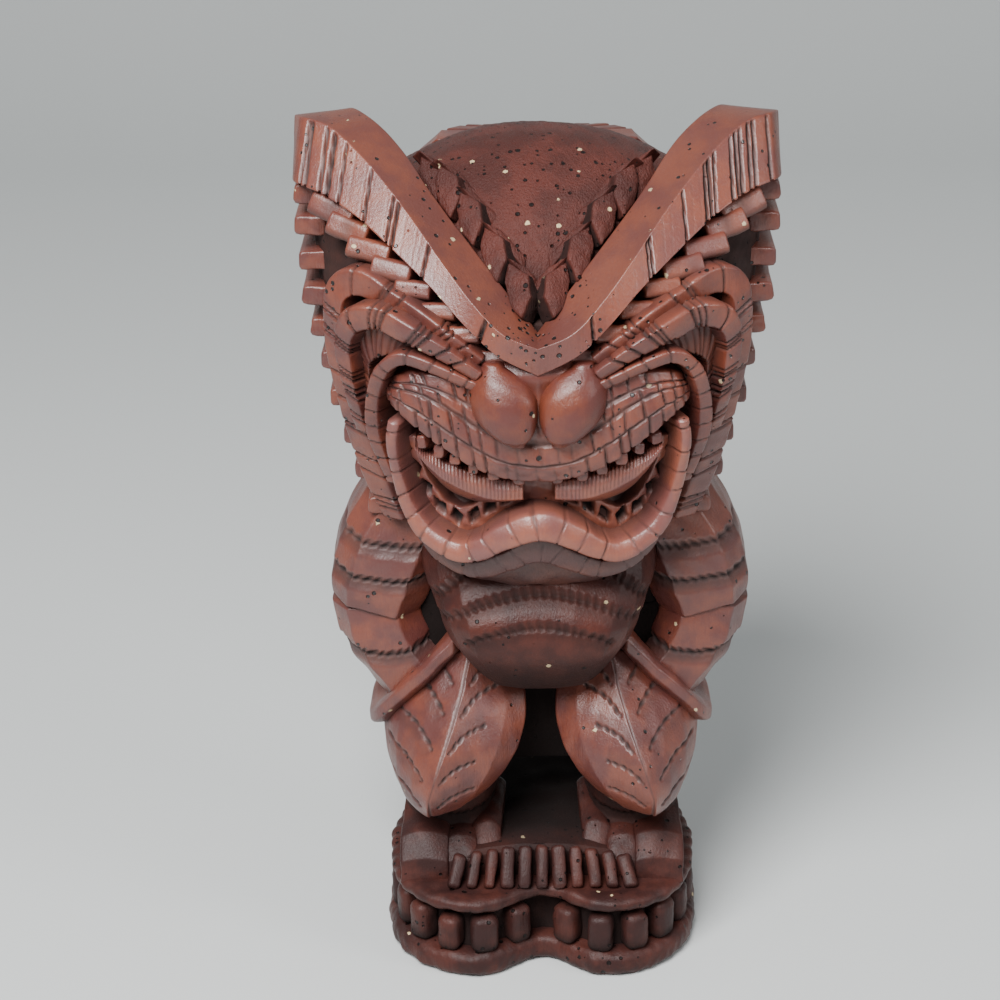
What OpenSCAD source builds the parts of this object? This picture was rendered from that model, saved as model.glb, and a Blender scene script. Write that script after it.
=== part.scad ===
// A standing carved tiki: a lobed base, bent legs, a barrel belly, arms held to
// the hips, and a tall head with a V crest, swept brows and a grinning mouth.
// +Z is up, the face looks along -Y, and the origin is under the middle of the
// figure, on the surface that it stands on.

/* [Heights] */
// Height of the lobed base, from the ground to its upper band
base_h = 18; // [14:1:22]
// Height of the legs, from the upper band to the hips
leg_h = 49; // [42:1:58]
// Height of the trunk, from the hips to the jaw
torso_h = 25; // [21:1:30]
// Height of the head, from the jaw to the crest's tips
head_h = 86; // [74:1:103]

/* [Widths and depths] */
// Width of the base over its two lobes
base_w = 66; // [56:1:79]
// Depth of the base
base_d = 60; // [50:1:70]
// Width over the elbows
elbow_w = 86; // [74:1:100]
// Width of the head over the side combs
head_w = 95; // [82:1:110]
// Depth of the head, from the muzzle to the back plate
head_d = 82; // [70:1:96]

/* [Base detail] */
// Height of the plain band that rests on the ground
plinth_h = 5.6; // [4:0.2:7]
// Height of the thin upper band
band_h = 3; // [2:0.2:4]
// How far the waist is cut in between the two bands
waist_cut = 4.5; // [3:0.5:6]
// How deep the notch between the two front lobes is
notch_d = 8; // [5:0.5:10]
// Number of pegs round the waist
peg_count = 30; // [20:2:36]
// Width of one peg
peg_w = 4.4; // [3.6:0.2:5.2]
// Number of upright ribs on the bank between the feet
rib_count = 11; // [7:2:13]
// Width of one rib
rib_w = 2.4; // [1.6:0.2:3]

/* [Carved detail] */
// Number of stepped blocks under each half of the crest
step_count = 8; // [6:1:9]
// Number of leaves in each row behind the crest
leaf_count = 5; // [4:1:6]
// Number of slats in each side comb
slat_count = 10; // [8:1:12]
// Thickness of one slat
slat_t = 3.6; // [2.6:0.2:4.4]
// Number of lower teeth on each side of the mouth
tooth_count = 8; // [6:1:9]
// Number of upper teeth on each side of the mouth
upper_tooth_count = 5; // [4:1:6]
// Number of chevrons down the back plate
chevron_count = 7; // [5:1:8]
// How far a carved band is rooted in what it grows from
root = 2.5; // [1.5:0.5:4]

/* [Hidden] */
carving = "#8c4a3c";
carving_dark = "#5e332c";
carving_light = "#a8665a";

// The figure that the outlines below are drawn on. A driving size stretches them.
drawn_head = [95, 82, 86];
drawn_leg = [66, 60, 49];
drawn_torso = [86, 60, 25];
jaw_z = base_h + leg_h + torso_h;
hip_z = base_h + leg_h;
face_y = 3;          // the head's middle lies this far behind the base's
face_power = 2.4;    // how square the head is in plan
segment = 4;         // steps between two points of an outline

// Places on the head, on the legs and on the trunk, from drawn places.
function on_head(p) = [
  p.x * head_w / drawn_head.x,
  face_y + p.y * head_d / drawn_head.y,
  jaw_z + p.z * head_h / drawn_head.z
];
function on_leg(p) = [
  p.x * base_w / drawn_leg.x,
  p.y * base_d / drawn_leg.y,
  base_h + p.z * leg_h / drawn_leg.z
];
function on_torso(p) = [
  p.x * elbow_w / drawn_torso.x,
  p.y * base_d / drawn_torso.y,
  hip_z + p.z * torso_h / drawn_torso.z
];

// Half widths and front depths of the bare head, by drawn height over the jaw.
half_width = [[-12, 20], [0, 27], [8, 30], [18, 34], [28, 37], [43, 41], [58, 43], [73, 44], [90, 42]];
front_depth = [[-12, 14], [0, 22], [8, 25], [18, 27], [28, 31], [43, 33], [53, 34], [63, 29], [73, 20], [90, 4]];

// A drawn place on the bare face, at x across and up over the jaw, standing proud by out.
function face_at(x, up, out) =
  let (a = lookup(up, half_width) + out, b = lookup(up, front_depth) + out)
  let (t = min(abs(x) / a, 0.997))
  [x, -b * pow(1 - pow(t, face_power), 1 / face_power), up];
// The direction that the face looks in there.
function face_out(x, up, out = 0) =
  let (a = lookup(up, half_width) + out, b = lookup(up, front_depth) + out, t = min(abs(x) / a, 0.97))
  let (n = [sign(x) * pow(t, face_power - 1) / a, -pow(1 - pow(t, face_power), (face_power - 1) / face_power) / b, 0])
  n / norm(n);

// A smooth run through the points of a list, and its direction at each step.
function run_point(p, i, t) =
  let (last = len(p) - 1)
  let (a = p[max(i - 1, 0)], b = p[i], c = p[min(i + 1, last)], d = p[min(i + 2, last)])
  0.5 * (2 * b + (c - a) * t + (2 * a - 5 * b + 4 * c - d) * t * t + (3 * b - a - 3 * c + d) * t * t * t);
function run(p, steps = segment) = concat(
  [for (i = [0:len(p) - 2]) for (k = [0:steps - 1]) run_point(p, i, k / steps)],
  [p[len(p) - 1]]
);
function heading(p, i) =
  let (d = p[min(i + 1, len(p) - 1)] - p[max(i - 1, 0)])
  d / norm(d);
function unit(v) = v / norm(v);

// The area that a ring of points encloses, as a vector square to the ring.
function ring_area(r, i = 0, sum = [0, 0, 0]) =
  i == len(r) ? sum : ring_area(r, i + 1, sum + cross(r[i], r[(i + 1) % len(r)]) / 2);
function ring_middle(r, i = 0, sum = [0, 0, 0]) =
  i == len(r) ? sum / i : ring_middle(r, i + 1, sum + r[i]);

// A closed solid through rings of points, each ring with the same number of points.
module skin(rings) {
  n = len(rings[0]);
  m = len(rings);
  onward = ring_middle(rings[1]) - ring_middle(rings[0]);
  turned = ring_area(rings[0]) * onward + ring_area(rings[1]) * onward < 0;
  walls = [
    for (i = [0:m - 2]) for (j = [0:n - 1])
      let (a = i * n + j, b = i * n + (j + 1) % n, c = a + n, d = b + n)
      each [[a, c, d], [a, d, b]]
  ];
  ends = [for (j = [1:n - 2]) each [[0, j, j + 1], [(m - 1) * n, (m - 1) * n + j + 1, (m - 1) * n + j]]];
  faces = concat(walls, ends);
  polyhedron(
    [for (r = rings) each r],
    [for (f = faces) turned ? [f[0], f[2], f[1]] : f],
    convexity = 6
  );
}

// A band that lies on the face. Each stop is [across, up, width, proud at the
// lower or outer side, proud at the upper or inner side], and across and up are
// those of the middle of its proud surface.
module face_band(stops, steps = segment) {
  p = run(stops, steps);
  line = [for (q = p) face_at(q[0], q[1], (q[3] + q[4]) / 2)];
  rings = [
    for (i = [0:len(p) - 1])
      let (q = p[i], crown = (q[3] + q[4]) / 2, out = face_out(q[0], q[1], crown))
      let (side = unit(cross(heading(line, i), out)), half = q[2] / 2)
      [
        for (c = [[-half, -root], [half, -root], [half, q[3]], [-half, q[4]]])
          on_head(line[i] + side * c[0] + out * (c[1] - crown))
      ]
  ];
  skin(rings);
}

// Rings stacked upwards: each level is [drawn height, half width, front, back].
function oval(w, front, back, power, count) = [
  for (k = [0:count - 1])
    let (a = 360 * k / count, c = cos(a), s = sin(a))
    let (r = pow(pow(abs(c), power) + pow(abs(s), power), -1 / power))
    [w * r * c, r * s * (s < 0 ? front : back)]
];

// Draws its children, or their mirror image for the left-hand side.
module on_side(side) {
  mirror([side < 0 ? 1 : 0, 0, 0]) children();
}

// ---------- Base ----------

base_back = 0.47;    // share of the base's depth that lies behind the origin
base_power = 3;

// The base's outline, drawn in by inset: a squarish oval with a notch in front.
function base_outline(inset, count = 72) = [
  for (k = [0:count - 1])
    let (a = 360 * k / count, c = cos(a), s = sin(a))
    let (r = pow(pow(abs(c), base_power) + pow(abs(s), base_power), -1 / base_power))
    let (x = (base_w / 2 - inset) * r * c * (s > 0 ? 1 - 0.14 * s : 1))
    let (y = r * s * base_d * (s < 0 ? 1 - base_back : base_back) - inset * s)
    [x, y + (s < 0 ? notch_d * exp(-pow(x / (0.13 * base_w), 2)) : 0)]
];

module base_plinth() {
  color(carving_dark) skin([
    for (q = [[0, 0.8], [0.8, 0], [plinth_h - 0.8, 0.2], [plinth_h, 1.4]])
      [for (p = base_outline(q[1])) [p.x, p.y, q[0]]]
  ]);
}

waist_top = base_h - band_h;

module base_waist() {
  color(carving_dark) translate([0, 0, plinth_h]) linear_extrude(waist_top - plinth_h)
    polygon(base_outline(waist_cut));
}

// Pegs stand round the waist, evenly by angle, each turned to face outwards.
module base_pegs() {
  outline = base_outline(waist_cut, peg_count * 4);
  color(carving) for (k = [0:peg_count - 1]) {
    i = (4 * k + 2) % len(outline);
    along = outline[(i + 1) % len(outline)] - outline[(i + len(outline) - 1) % len(outline)];
    if (abs(outline[i].x) > 2 || outline[i].y > 0) translate([outline[i].x, outline[i].y, plinth_h])
      rotate(atan2(along.y, along.x))
        translate([-peg_w / 2, -waist_cut + 1.2, 0]) cube([peg_w, waist_cut, waist_top - plinth_h]);
  }
}

module base_band() {
  color(carving) skin([
    for (q = [[waist_top, 1.6], [waist_top + 0.8, 0.8], [base_h - 0.8, 1], [base_h, 2.2]])
      [for (p = base_outline(q[1])) [p.x, p.y, q[0]]]
  ]);
}

mound_h = 7;         // rise of the mound's crown over the band
mound_front = 0.31;  // share of the depth from the origin to the mound's front
mound_w = 0.45;      // half width of the mound as a share of the base

// An arched mound that the feet stand on, with a steep bank in front.
function mound_z(x) = base_h + mound_h * (1 - pow(x / (mound_w * base_w) * 0.97, 2));
module base_mound() {
  count = 20;
  half = mound_w * base_w;
  color(carving_dark) intersection() {
    translate([0, 0.5 * base_d, 0]) rotate([90, 0, 0]) linear_extrude((0.5 + mound_front) * base_d)
      polygon(concat(
        [[-half, base_h - 1], [half, base_h - 1]],
        [for (k = [count:-1:0]) let (x = (2 * k / count - 1) * half) [x, mound_z(x)]]
      ));
    translate([0, 0, base_h - 2]) linear_extrude(mound_h + 4) polygon(base_outline(4));
  }
}

// Upright ribs on the bank, fanned a little about the middle.
module base_ribs() {
  spread = 0.54 * base_w;
  color(carving) for (k = [0:rib_count - 1]) {
    x = (k / (rib_count - 1) - 0.5) * spread;
    top = mound_z(x) + 0.5;
    foot = -mound_front * base_d - 4;
    skin([
      for (q = [[-rib_w / 2, 0.8], [rib_w / 2, 0.8]])
        [
          [x + q[0], foot - 1.6, base_h - 0.5], [x + q[0], foot + 5, base_h - 0.5],
          [x * 0.94 + q[0] * q[1], foot + 5, top], [x * 0.94 + q[0] * q[1], foot + 1.8, top]
        ]
    ]);
  }
}

// ---------- Legs ----------

// Toes from the inner to the outer one: [across, front, width, height].
toes = [[11.5, -17.5, 5, 9.5], [17, -20, 5.6, 8], [24.5, -20.5, 9, 9]];

module foot(side) {
  color(carving) on_side(side) {
    for (t = toes) {
      skin([
        for (q = [[-0.5, 0.8], [-0.36, 1], [0.36, 1], [0.5, 0.8]])
          let (x = t.x + q[0] * t[2], z = t[3] * q[1])
          [
            on_leg([x, t.y, -1]), on_leg([x, 2, -1]),
            on_leg([x - 1, 2, z + 3]), on_leg([x, t.y + 5, z]), on_leg([x, t.y + 1, z * 0.5])
          ]
      ]);
    }
  }
}

// The shin's rings: [height, across, half width, front, back].
shin_rings = [[1, 19, 10.5, -13, 12], [8, 19, 10, -12, 13], [16, 19.5, 10, -13, 14], [24, 19.5, 9.5, -13, 14]];

module shin(side) {
  color(carving_dark) on_side(side) skin([
    for (q = run(shin_rings))
      [for (p = oval(q[2], -q[3], q[4], 2.6, 24)) on_leg([q[1] + p.x, p.y, q[0]])]
  ]);
}

// The thigh and knee are one leaf with a ridge down its front. Each ring is
// [height, outer x, outer y, ridge x, ridge y, inner x, inner y, back y].
thigh_rings = [
  [15.5, 25.5, -14, 22.5, -20, 19, -16, -8],
  [18, 29, -12, 23.3, -25, 13.5, -17, -2],
  [23, 31.8, -9, 23, -27.6, 8.5, -17, 6],
  [30, 32.8, -6, 20.8, -26, 4.2, -15, 10],
  [37, 32, -3, 18, -21, 3, -12, 12],
  [43, 28.5, -1, 15.8, -15.5, 4.5, -8, 12],
  [49, 22.5, 0, 14.4, -10.5, 8, -5, 11]
];

module thigh(side) {
  color(carving) on_side(side) skin([
    for (q = run(thigh_rings))
      let (o = [q[1], q[2]], r = [q[3], q[4]], i = [q[5], q[6]], b = q[7])
      [
        for (p = [
          r, (r * 2 + o) / 3 + [0.8, -0.8], (r + o * 2) / 3 + [1, -1], o,
          [o.x * 0.97, (o.y + b) / 2], [o.x * 0.86, b], [i.x * 0.5 + o.x * 0.5, b + 1], [i.x + 1, b * 0.8],
          i, (r + i * 2) / 3 + [-0.6, -1], (r * 2 + i) / 3 + [-0.4, -0.6]
        ]) on_leg([p.x, p.y, q[0]])
      ]
  ]);
}

// ---------- Trunk ----------

seat_rings = [[-30, 18, -2, 20], [-22, 27, -4, 26], [-10, 29, -6, 28.5], [0, 28, -8, 27], [8, 27, -8, 25]];

module seat() {
  color(carving) skin([
    for (q = run(seat_rings))
      [for (p = oval(q[1], -q[2], q[3], 2.5, 32)) on_torso([p.x, p.y, q[0]])]
  ]);
}

// The belly's rings: [height, half width, front, facet share].
belly_rings = [
  [-6, 11, -16], [-4, 13, -19.5], [0, 15.5, -22.8], [5, 18.5, -25.6], [10, 20.5, -27],
  [13, 21.6, -26.6], [18, 23.8, -23.5], [22, 24.4, -20.5], [28, 23.5, -16]
];

module belly() {
  color(carving) skin([
    for (q = run(belly_rings, 3))
      let (w = q[1], f = q[2])
      [
        for (p = [
          [-0.3 * w, f], [0.3 * w, f], [0.66 * w, f + 1.2], [0.84 * w, f + 4], [0.95 * w, f + 9], [w, f + 16],
          [w * 0.96, 8], [-w * 0.96, 8], [-w, f + 16], [-0.95 * w, f + 9], [-0.84 * w, f + 4], [-0.66 * w, f + 1.2]
        ]) on_torso([p.x, p.y, q[0]])
      ]
  ]);
}

back_rings = [[4, 26, -8, 25], [14, 28, -8, 25], [24, 30, -8, 26], [34, 31, -8, 27]];

module upper_back() {
  color(carving) skin([
    for (q = run(back_rings))
      [for (p = oval(q[1], -q[2], q[3], 2.6, 32)) on_torso([p.x, p.y, q[0]])]
  ]);
}

// ---------- Arms ----------

// Rings across the arm, from the shoulder to the elbow:
// [centre x, centre y, centre z, half width, half depth], laid square to the arm.
upper_arm_rings = [
  [24, 4, 32, 9, 12], [27, 3.4, 27, 10, 13], [30.5, 2.5, 20, 10.5, 13.5], [32.8, 2, 13, 10.2, 13], [34, 2, 8, 9, 12]
];
forearm_rings = [
  [34, 3, 9, 9, 12], [32.8, 2.4, 3, 9, 12.5], [29.6, 2, -3, 8.4, 12.5], [26, 1.4, -9, 7.6, 12], [23.4, 1, -14, 7, 11]
];
arm_facets = [[1, 0.5], [1, -0.42], [0.62, -0.9], [-0.5, -1], [-1, -0.6], [-1, 0.7], [-0.4, 1], [0.6, 0.95]];

module limb(rings) {
  p = run(rings);
  skin([
    for (i = [0:len(p) - 1])
      let (a = p[max(i - 1, 0)], b = p[min(i + 1, len(p) - 1)], d = unit([b[0] - a[0], 0, b[2] - a[2]]))
      let (across = [-d.z, 0, d.x])
      [
        for (f = arm_facets)
          on_torso([p[i][0], p[i][1], p[i][2]] + across * f.x * p[i][3] + [0, 1, 0] * f.y * p[i][4])
      ]
  ]);
}

module upper_arm(side) {
  color(carving) on_side(side) limb(upper_arm_rings);
}
module forearm(side) {
  color(carving_dark) on_side(side) limb(forearm_rings);
}

// A flat mitten of a hand, clasped round the hip like a cuff. Each stop is
// [x, y, z] of its outer rim; the inner rim lies towards the hip.
hand_rim = [[18, -13, 1.5], [24, -13.5, -4.5], [30.5, -12, -11], [34.6, -8, -16.5], [36, -1, -19], [35, 8, -17.5], [30, 16, -13]];

module hand(side) {
  p = run(hand_rim);
  color(carving) on_side(side) skin([
    for (i = [0:len(p) - 1])
      let (q = p[i], in = [12 - q.x, 6 - q.y, 0], d = unit(in) * 7)
      [
        for (c = [q + [0, 0, -1.6], q + d + [0, 0, -2.6], q + d + [0, 0, 6], q + d * 0.25 + [0, 0, 3.4], q + [0, 0, 1.4]])
          on_torso(c)
      ]
  ]);
}

// ---------- Head ----------

// Above the nose a V-shaped valley splits the core: [up, half width of the valley].
core_levels = [-2, 4, 10, 18, 26, 34, 43, 51, 54, 60, 66];
valley = [[53.9, 0], [54, 4], [60, 12], [66, 20]];
valley_floor = -20;

module head_core() {
  color(carving_dark) skin([
    for (up = core_levels)
      let (a = lookup(up, half_width), b = lookup(up, front_depth), w = lookup(up, valley))
      [for (p = oval(a, b, 33, face_power, 40)) on_head([p.x, abs(p.x) < w ? max(p.y, valley_floor) : p.y, up])]
  ]);
}

// The skull is the upper half of an oval dome.
skull_size = [42, 33, 33];
skull_seat = [0, 3, 47.5];

module skull() {
  color(carving_dark) skin([
    for (k = [0:10])
      let (a = 8 * k + 6, s = max(cos(a), 0.06))
      [
        for (p = oval(skull_size.x * s, skull_size.y * s, skull_size.y * s, 2.2, 40))
          on_head(skull_seat + [p.x, p.y, skull_size.z * sin(a)])
      ]
  ]);
}

// The jaw hangs under the mouth: [up, half width, front, back].
jaw_rings = [[-9, 17, -18, 10], [-4, 23, -26, 14], [0, 25.5, -29, 16], [5, 27, -29.5, 18], [12, 27, -29, 18], [18, 27, -27, 18]];

module jaw() {
  color(carving_dark) skin([
    for (q = run(jaw_rings, 3))
      [for (p = oval(q[1], -q[2], q[3], 2.4, 36)) on_head([p.x, p.y, q[0]])]
  ]);
}

// The lip runs down each cheek, round two lobes and up to a bow in the middle.
lip_stops = [
  [27.4, 34.6, 2.6, 8.5, 8.5], [28, 31, 2.4, 9, 9], [27.7, 26, 2.4, 9, 9], [26.8, 20.4, 2.6, 9.3, 9],
  [25.4, 15, 3, 9.6, 9.2], [23, 10.6, 3.5, 10.2, 9.8], [19.4, 8, 4, 11, 10.5],
  [15.2, 6.6, 4.4, 11.6, 11], [11, 8.2, 4.6, 12, 11.5], [6.6, 11.2, 5.2, 12.5, 11.5],
  [0, 13.8, 5.8, 13, 11.5]
];

module lower_lip() {
  mirrored = [for (i = [len(lip_stops) - 2:-1:0]) let (q = lip_stops[i]) [-q[0], q[1], q[2], q[3], q[4]]];
  color(carving_light) face_band(concat(lip_stops, mirrored));
}

chin_stops = [[24, 8, 4, 5, 6], [19.6, 2.6, 4, 6.5, 7.5], [12.7, 0.8, 4.4, 8, 9], [6.2, 4, 5, 9, 10], [0, 7.2, 6, 9.5, 10.5]];

module chin_roll() {
  mirrored = [for (i = [len(chin_stops) - 2:-1:0]) let (q = chin_stops[i]) [-q[0], q[1], q[2], q[3], q[4]]];
  color(carving) face_band(concat(chin_stops, mirrored));
}

// The muzzle is drawn as slices from its middle to its corner. Each slice is
// [across, up of the edge, lower course, upper course, top, proud].
muzzle_slices = [
  [0, 23.4, 27, 31.6, 42.5, 9.5], [6, 24, 28, 33, 43, 9.6], [12, 26.4, 31, 35.6, 44, 9.6], [18, 30.4, 35, 39.6, 45.2, 9.4],
  [23, 34, 38, 41.6, 45, 9], [26.5, 36.6, 39.4, 41.6, 43.6, 8], [28.6, 38, 39.4, 40.6, 41.6, 5.5]
];

module muzzle() {
  half = run(muzzle_slices, 3);
  whole = concat([for (i = [len(half) - 1:-1:1]) let (q = half[i]) concat([-q[0]], [for (j = [1:5]) q[j]])], half);
  color(carving) skin([
    for (q = whole)
      [
        for (c = [[q[4], -3], [q[4], q[5] - 2.6], [q[3], q[5] - 0.6], [q[2], q[5] + 0.4], [q[1], q[5]], [q[1] - 0.4, -3]])
          on_head(face_at(q[0], c[0], c[1]))
      ]
  ]);
}

// A curled roll fills each half of the mouth, from its corner to the middle.
// Each stop is [across, top, ridge, bottom].
roll_stops = [
  [24.6, 30.6, 29.2, 27.6], [22.4, 28.4, 25.8, 22.4], [18.6, 26.6, 22.4, 18], [13.6, 24.4, 19.6, 15.6],
  [8, 22.8, 18.2, 15.6], [3, 22.2, 18.4, 16.6]
];

module mouth_roll(side) {
  color(carving_light) on_side(side) skin([
    for (q = run(roll_stops))
      [for (c = [[q[3], 0], [q[3], 4.2], [q[2], 8.6], [(q[1] + q[2]) / 2, 8.2], [q[1], 6.4], [q[1], 0]]) on_head(face_at(q[0], c[0], c[1]))]
  ]);
}

// Teeth are small blocks set along a run: [across, up].
lower_gum = [
  [25.6, 30], [25.2, 26], [24, 21], [22.2, 16.4], [19.4, 12.6], [15.6, 10.8], [12, 12], [8.4, 14.8],
  [4.4, 17.6], [1.4, 19]
];
upper_gum = [[22.6, 31.6], [16.5, 28.4], [10, 25], [2.2, 23.4]];
tooth = [2.6, 2.8, 4];

module teeth(gum, count, size, out) {
  p = run(gum, 12);
  for (side = [-1, 1]) for (k = [0:count - 1]) {
    q = p[round((k + 0.5) / count * (len(p) - 1))];
    at = on_head(face_at(q.x, q.y, out));
    away = face_out(q.x, q.y);
    on_side(side) translate(at) rotate(atan2(away.x, -away.y))
      translate([-size.x / 2, -size.z / 2, -size.y / 2]) cube([size.x, size.z, size.y]);
  }
}

module lower_teeth() {
  color(carving_light) teeth(lower_gum, tooth_count, tooth, 3.4);
}
module upper_teeth() {
  color(carving_light) teeth(upper_gum, upper_tooth_count, [3, 2.6, 4], 6.6);
}

// Each nostril is a bulb: [up, centre across, half width, front, back].
nostril_rings = [
  [32.6, 4.4, 2, -43, -36], [34.2, 5, 4, -44.6, -35], [37.4, 6, 5.6, -45.3, -34], [41.4, 6.6, 6, -45.2, -33],
  [45, 7.4, 5, -43.4, -32], [47.4, 8.4, 2.4, -41.4, -33]
];

module nostril(side) {
  color(carving) on_side(side) skin([
    for (q = run(nostril_rings))
      let (mid = (q[3] + q[4]) / 2, deep = (q[4] - q[3]) / 2)
      [for (p = oval(q[2], deep, deep, 2.3, 20)) on_head([q[1] + p.x, mid + p.y, q[0]])]
  ]);
}

module nose_bridge() {
  color(carving_dark) skin([
    for (q = [[30, 3.5, -38], [38, 5, -41], [43, 9, -41.6], [46, 9.5, -42], [49, 6, -40]])
      [for (p = [[-q[1], -30], [-q[1], q[2] + 2], [0, q[2]], [q[1], q[2] + 2], [q[1], -30]]) on_head([p.x, p.y, q[0]])]
  ]);
}

// Bands round each eye, nested from the brow to the cheek.
brow_stops = [
  [29.4, 6, 4.4, 5, 3], [33, 16, 4.8, 5.5, 3], [36, 28, 5, 5.5, 3.4], [38.2, 40, 5, 5.5, 4],
  [39.2, 50, 5, 5.5, 4.6], [38, 58, 5.6, 6, 6], [33.4, 60.4, 5.6, 6.5, 6], [28, 58.4, 4.8, 7, 6],
  [22, 55.6, 4.4, 7.5, 6], [16, 51.6, 4.2, 7.5, 6], [11, 47.8, 3.8, 7.5, 6]
];
eye_stops = [
  [34.4, 28, 2.6, 5, 4], [36.4, 40, 3, 7, 6], [37, 49, 3.8, 8, 7], [35, 54, 5, 8.6, 7.2],
  [30, 55.4, 5.4, 9, 7.4], [24.6, 53.8, 5, 9.4, 8], [18.2, 50.6, 3.8, 9.4, 8], [11, 45.8, 2.6, 9, 8]
];
cheek_stops = [
  [28.8, 18, 2.4, 6, 6], [30.6, 24, 2.4, 6.5, 5.5], [31.9, 31, 2.6, 7.5, 6], [31.4, 39, 2.6, 8.5, 7],
  [29.2, 45.6, 2.8, 9, 8], [25, 48.4, 3, 9, 8], [18.4, 46.6, 2.6, 9, 8], [11, 43.4, 2.2, 9, 8]
];
panel_stops = [
  [31.6, 17, 5, 2.4, 1.6], [34, 28, 6, 2.6, 2], [34.6, 39, 7, 3, 3], [33.6, 47, 7, 4, 4],
  [27, 50.6, 6, 5, 5], [19, 48.6, 5, 5.5, 5.5]
];

module brow_band(side) {
  color(carving) on_side(side) face_band(brow_stops);
}
module eye_band(side) {
  color(carving_light) on_side(side) face_band(eye_stops);
}
module eye_panel(side) {
  color(carving_dark) on_side(side) face_band(panel_stops);
}
module cheek_ridge(side) {
  color(carving_light) on_side(side) face_band(cheek_stops);
}

// ---------- Crest ----------

// Each half of the crest is drawn by four edges, from the middle to the tip:
// the ridge, the lower edge, the buried edge and the inner edge.
crest_ridge = [
  [0, -44, 52.3], [6.5, -43, 54.8], [12.2, -39.9, 60.1], [18, -34.6, 66.6], [24.5, -27, 73.8],
  [32, -18.6, 80.7], [39.1, -11.8, 85.3], [44.6, -7, 85.9], [46.6, 0, 84.4]
];
crest_lower = [
  [0, -42.2, 46.2], [7.3, -42.5, 50.2], [13.2, -41.1, 55.5], [19, -37.4, 61.2], [25.6, -32.2, 66.4],
  [33, -25.8, 71.4], [40.2, -19.7, 74.4], [45.8, -14, 75], [47.2, -4, 73.4]
];
crest_buried = [
  [0, -27, 47], [6, -26, 50], [11, -24, 54.5], [16, -20, 59.5], [22, -14.5, 63.5], [28.5, -8, 67.4],
  [34, -2, 69.6], [38.5, 3, 70.4], [40.5, 6, 70]
];
crest_inner = [
  [0, -36, 52.6], [4.6, -33.4, 58.1], [9.3, -30.3, 63.5], [14, -25.6, 68.4], [19.7, -19.4, 74.3],
  [25.5, -11.8, 80.9], [30.5, -7, 84.8], [34.6, -1, 85.8], [37, 4, 84.4]
];

module crest(side) {
  edges = [for (e = [crest_ridge, crest_lower, crest_buried, crest_inner]) run(e, 3)];
  color(carving) on_side(side) skin([
    for (i = [0:len(edges[0]) - 1]) [for (e = edges) on_head(e[i])]
  ]);
}

// Stepped blocks under the crest, from its tip to the middle: [across, up].
// Each is as long, thick and deep as step says by the tip, and half that by the nose.
step_run = [
  [39.4, 71.6], [36.2, 69], [31.6, 65.8], [26.6, 62.8], [21.9, 59.3], [16.6, 55.4], [10.8, 51],
  [5, 46.2]
];
step = [9.5, 5.2, 9];
step_tilt = [28, -6];

module crest_steps(side) {
  p = run(step_run, 12);
  color(carving_light) on_side(side) for (k = [0:step_count - 1]) {
    part = k / (step_count - 1);
    q = p[round((k + 0.3) / step_count * (len(p) - 1))];
    away = face_out(q.x, q.y, 5.5);
    size = step * (1 - 0.45 * part);
    tilt = step_tilt[0] + (step_tilt[1] - step_tilt[0]) * part;
    translate(on_head(face_at(q.x, q.y, 5.5))) rotate(atan2(away.x, -away.y)) rotate([14, tilt, 0])
      translate([-size.x / 2, 0, -size.y / 2]) cube([size.x, size.z * 0.9, size.y]);
  }
}

// Two rows of overlapping leaves behind the crest, up the dome.
leaf_rows = [
  [[1.6, -33, 59], [3.9, -31.4, 62.1], [7.4, -28.6, 65.5], [12.1, -22.6, 71.8], [17, -16.6, 77.2], [22.4, -9.6, 81.4]],
  [[1.4, -29.4, 62], [4.1, -27, 65.8], [7.8, -21.8, 71.4], [12.2, -17, 75.6], [16, -12, 78.8], [20, -6, 80.8]]
];
leaf = [6.6, 8, 5];

module crown_leaf() {
  translate([0, 0, -leaf.z / 2]) linear_extrude(leaf.z) polygon([
    [0, leaf.y * 0.55], [leaf.x / 2, -leaf.y * 0.1], [leaf.x * 0.4, -leaf.y * 0.5],
    [0, -leaf.y * 0.2], [-leaf.x * 0.4, -leaf.y * 0.5], [-leaf.x / 2, -leaf.y * 0.1]
  ]);
}

module crown_leaves(side) {
  color(carving) on_side(side) for (row = leaf_rows) {
    p = run(row, 6);
    for (k = [0:leaf_count - 1]) {
      i = round((k + 0.35) / leaf_count * (len(p) - 1));
      d = heading(p, i);
      translate(on_head(p[i])) rotate([0, 0, atan2(d.y, d.x) - 90])
        rotate([atan2(d.z, norm([d.x, d.y])), 0, 0]) crown_leaf();
    }
  }
}

// ---------- Sides and back ----------

// The comb's outer line down the side of the head: [across, up].
comb_line = [[46.6, 74], [46.6, 66], [46, 56], [44.6, 46], [42.4, 36], [39.6, 25], [36.4, 14], [33.4, 4]];
comb_front = -12;
comb_back = 16;

module side_comb(side) {
  p = run(comb_line, 12);
  pitch = (len(p) - 1) / slat_count;
  color(carving) on_side(side) {
    skin([
      for (q = run(comb_line, 2))
        [
          for (c = [[q.x - 9, comb_front + 2], [q.x - 3.4, comb_front + 4], [q.x - 2, comb_back - 4], [q.x - 9, comb_back + 6]])
            on_head([c.x, c.y, q.y])
        ]
    ]);
    for (k = [1:slat_count - 1]) {
      q = p[round((k + 0.5) * pitch)];
      translate(on_head([q.x - 6, comb_front, q.y]) - [0, 0, slat_t / 2])
        cube([6 * head_w / drawn_head.x, (comb_back - comb_front) * head_d / drawn_head.y, slat_t]);
    }
  }
}

// A long plate of hair down the back: [up, half width, back].
plate_rings = [[-30, 9, 24], [-22, 14, 28.5], [-10, 19, 31], [4, 24, 33.5], [20, 28, 36], [38, 31, 37.5], [54, 31, 37.5], [66, 27, 34], [75, 20, 26]];

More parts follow.
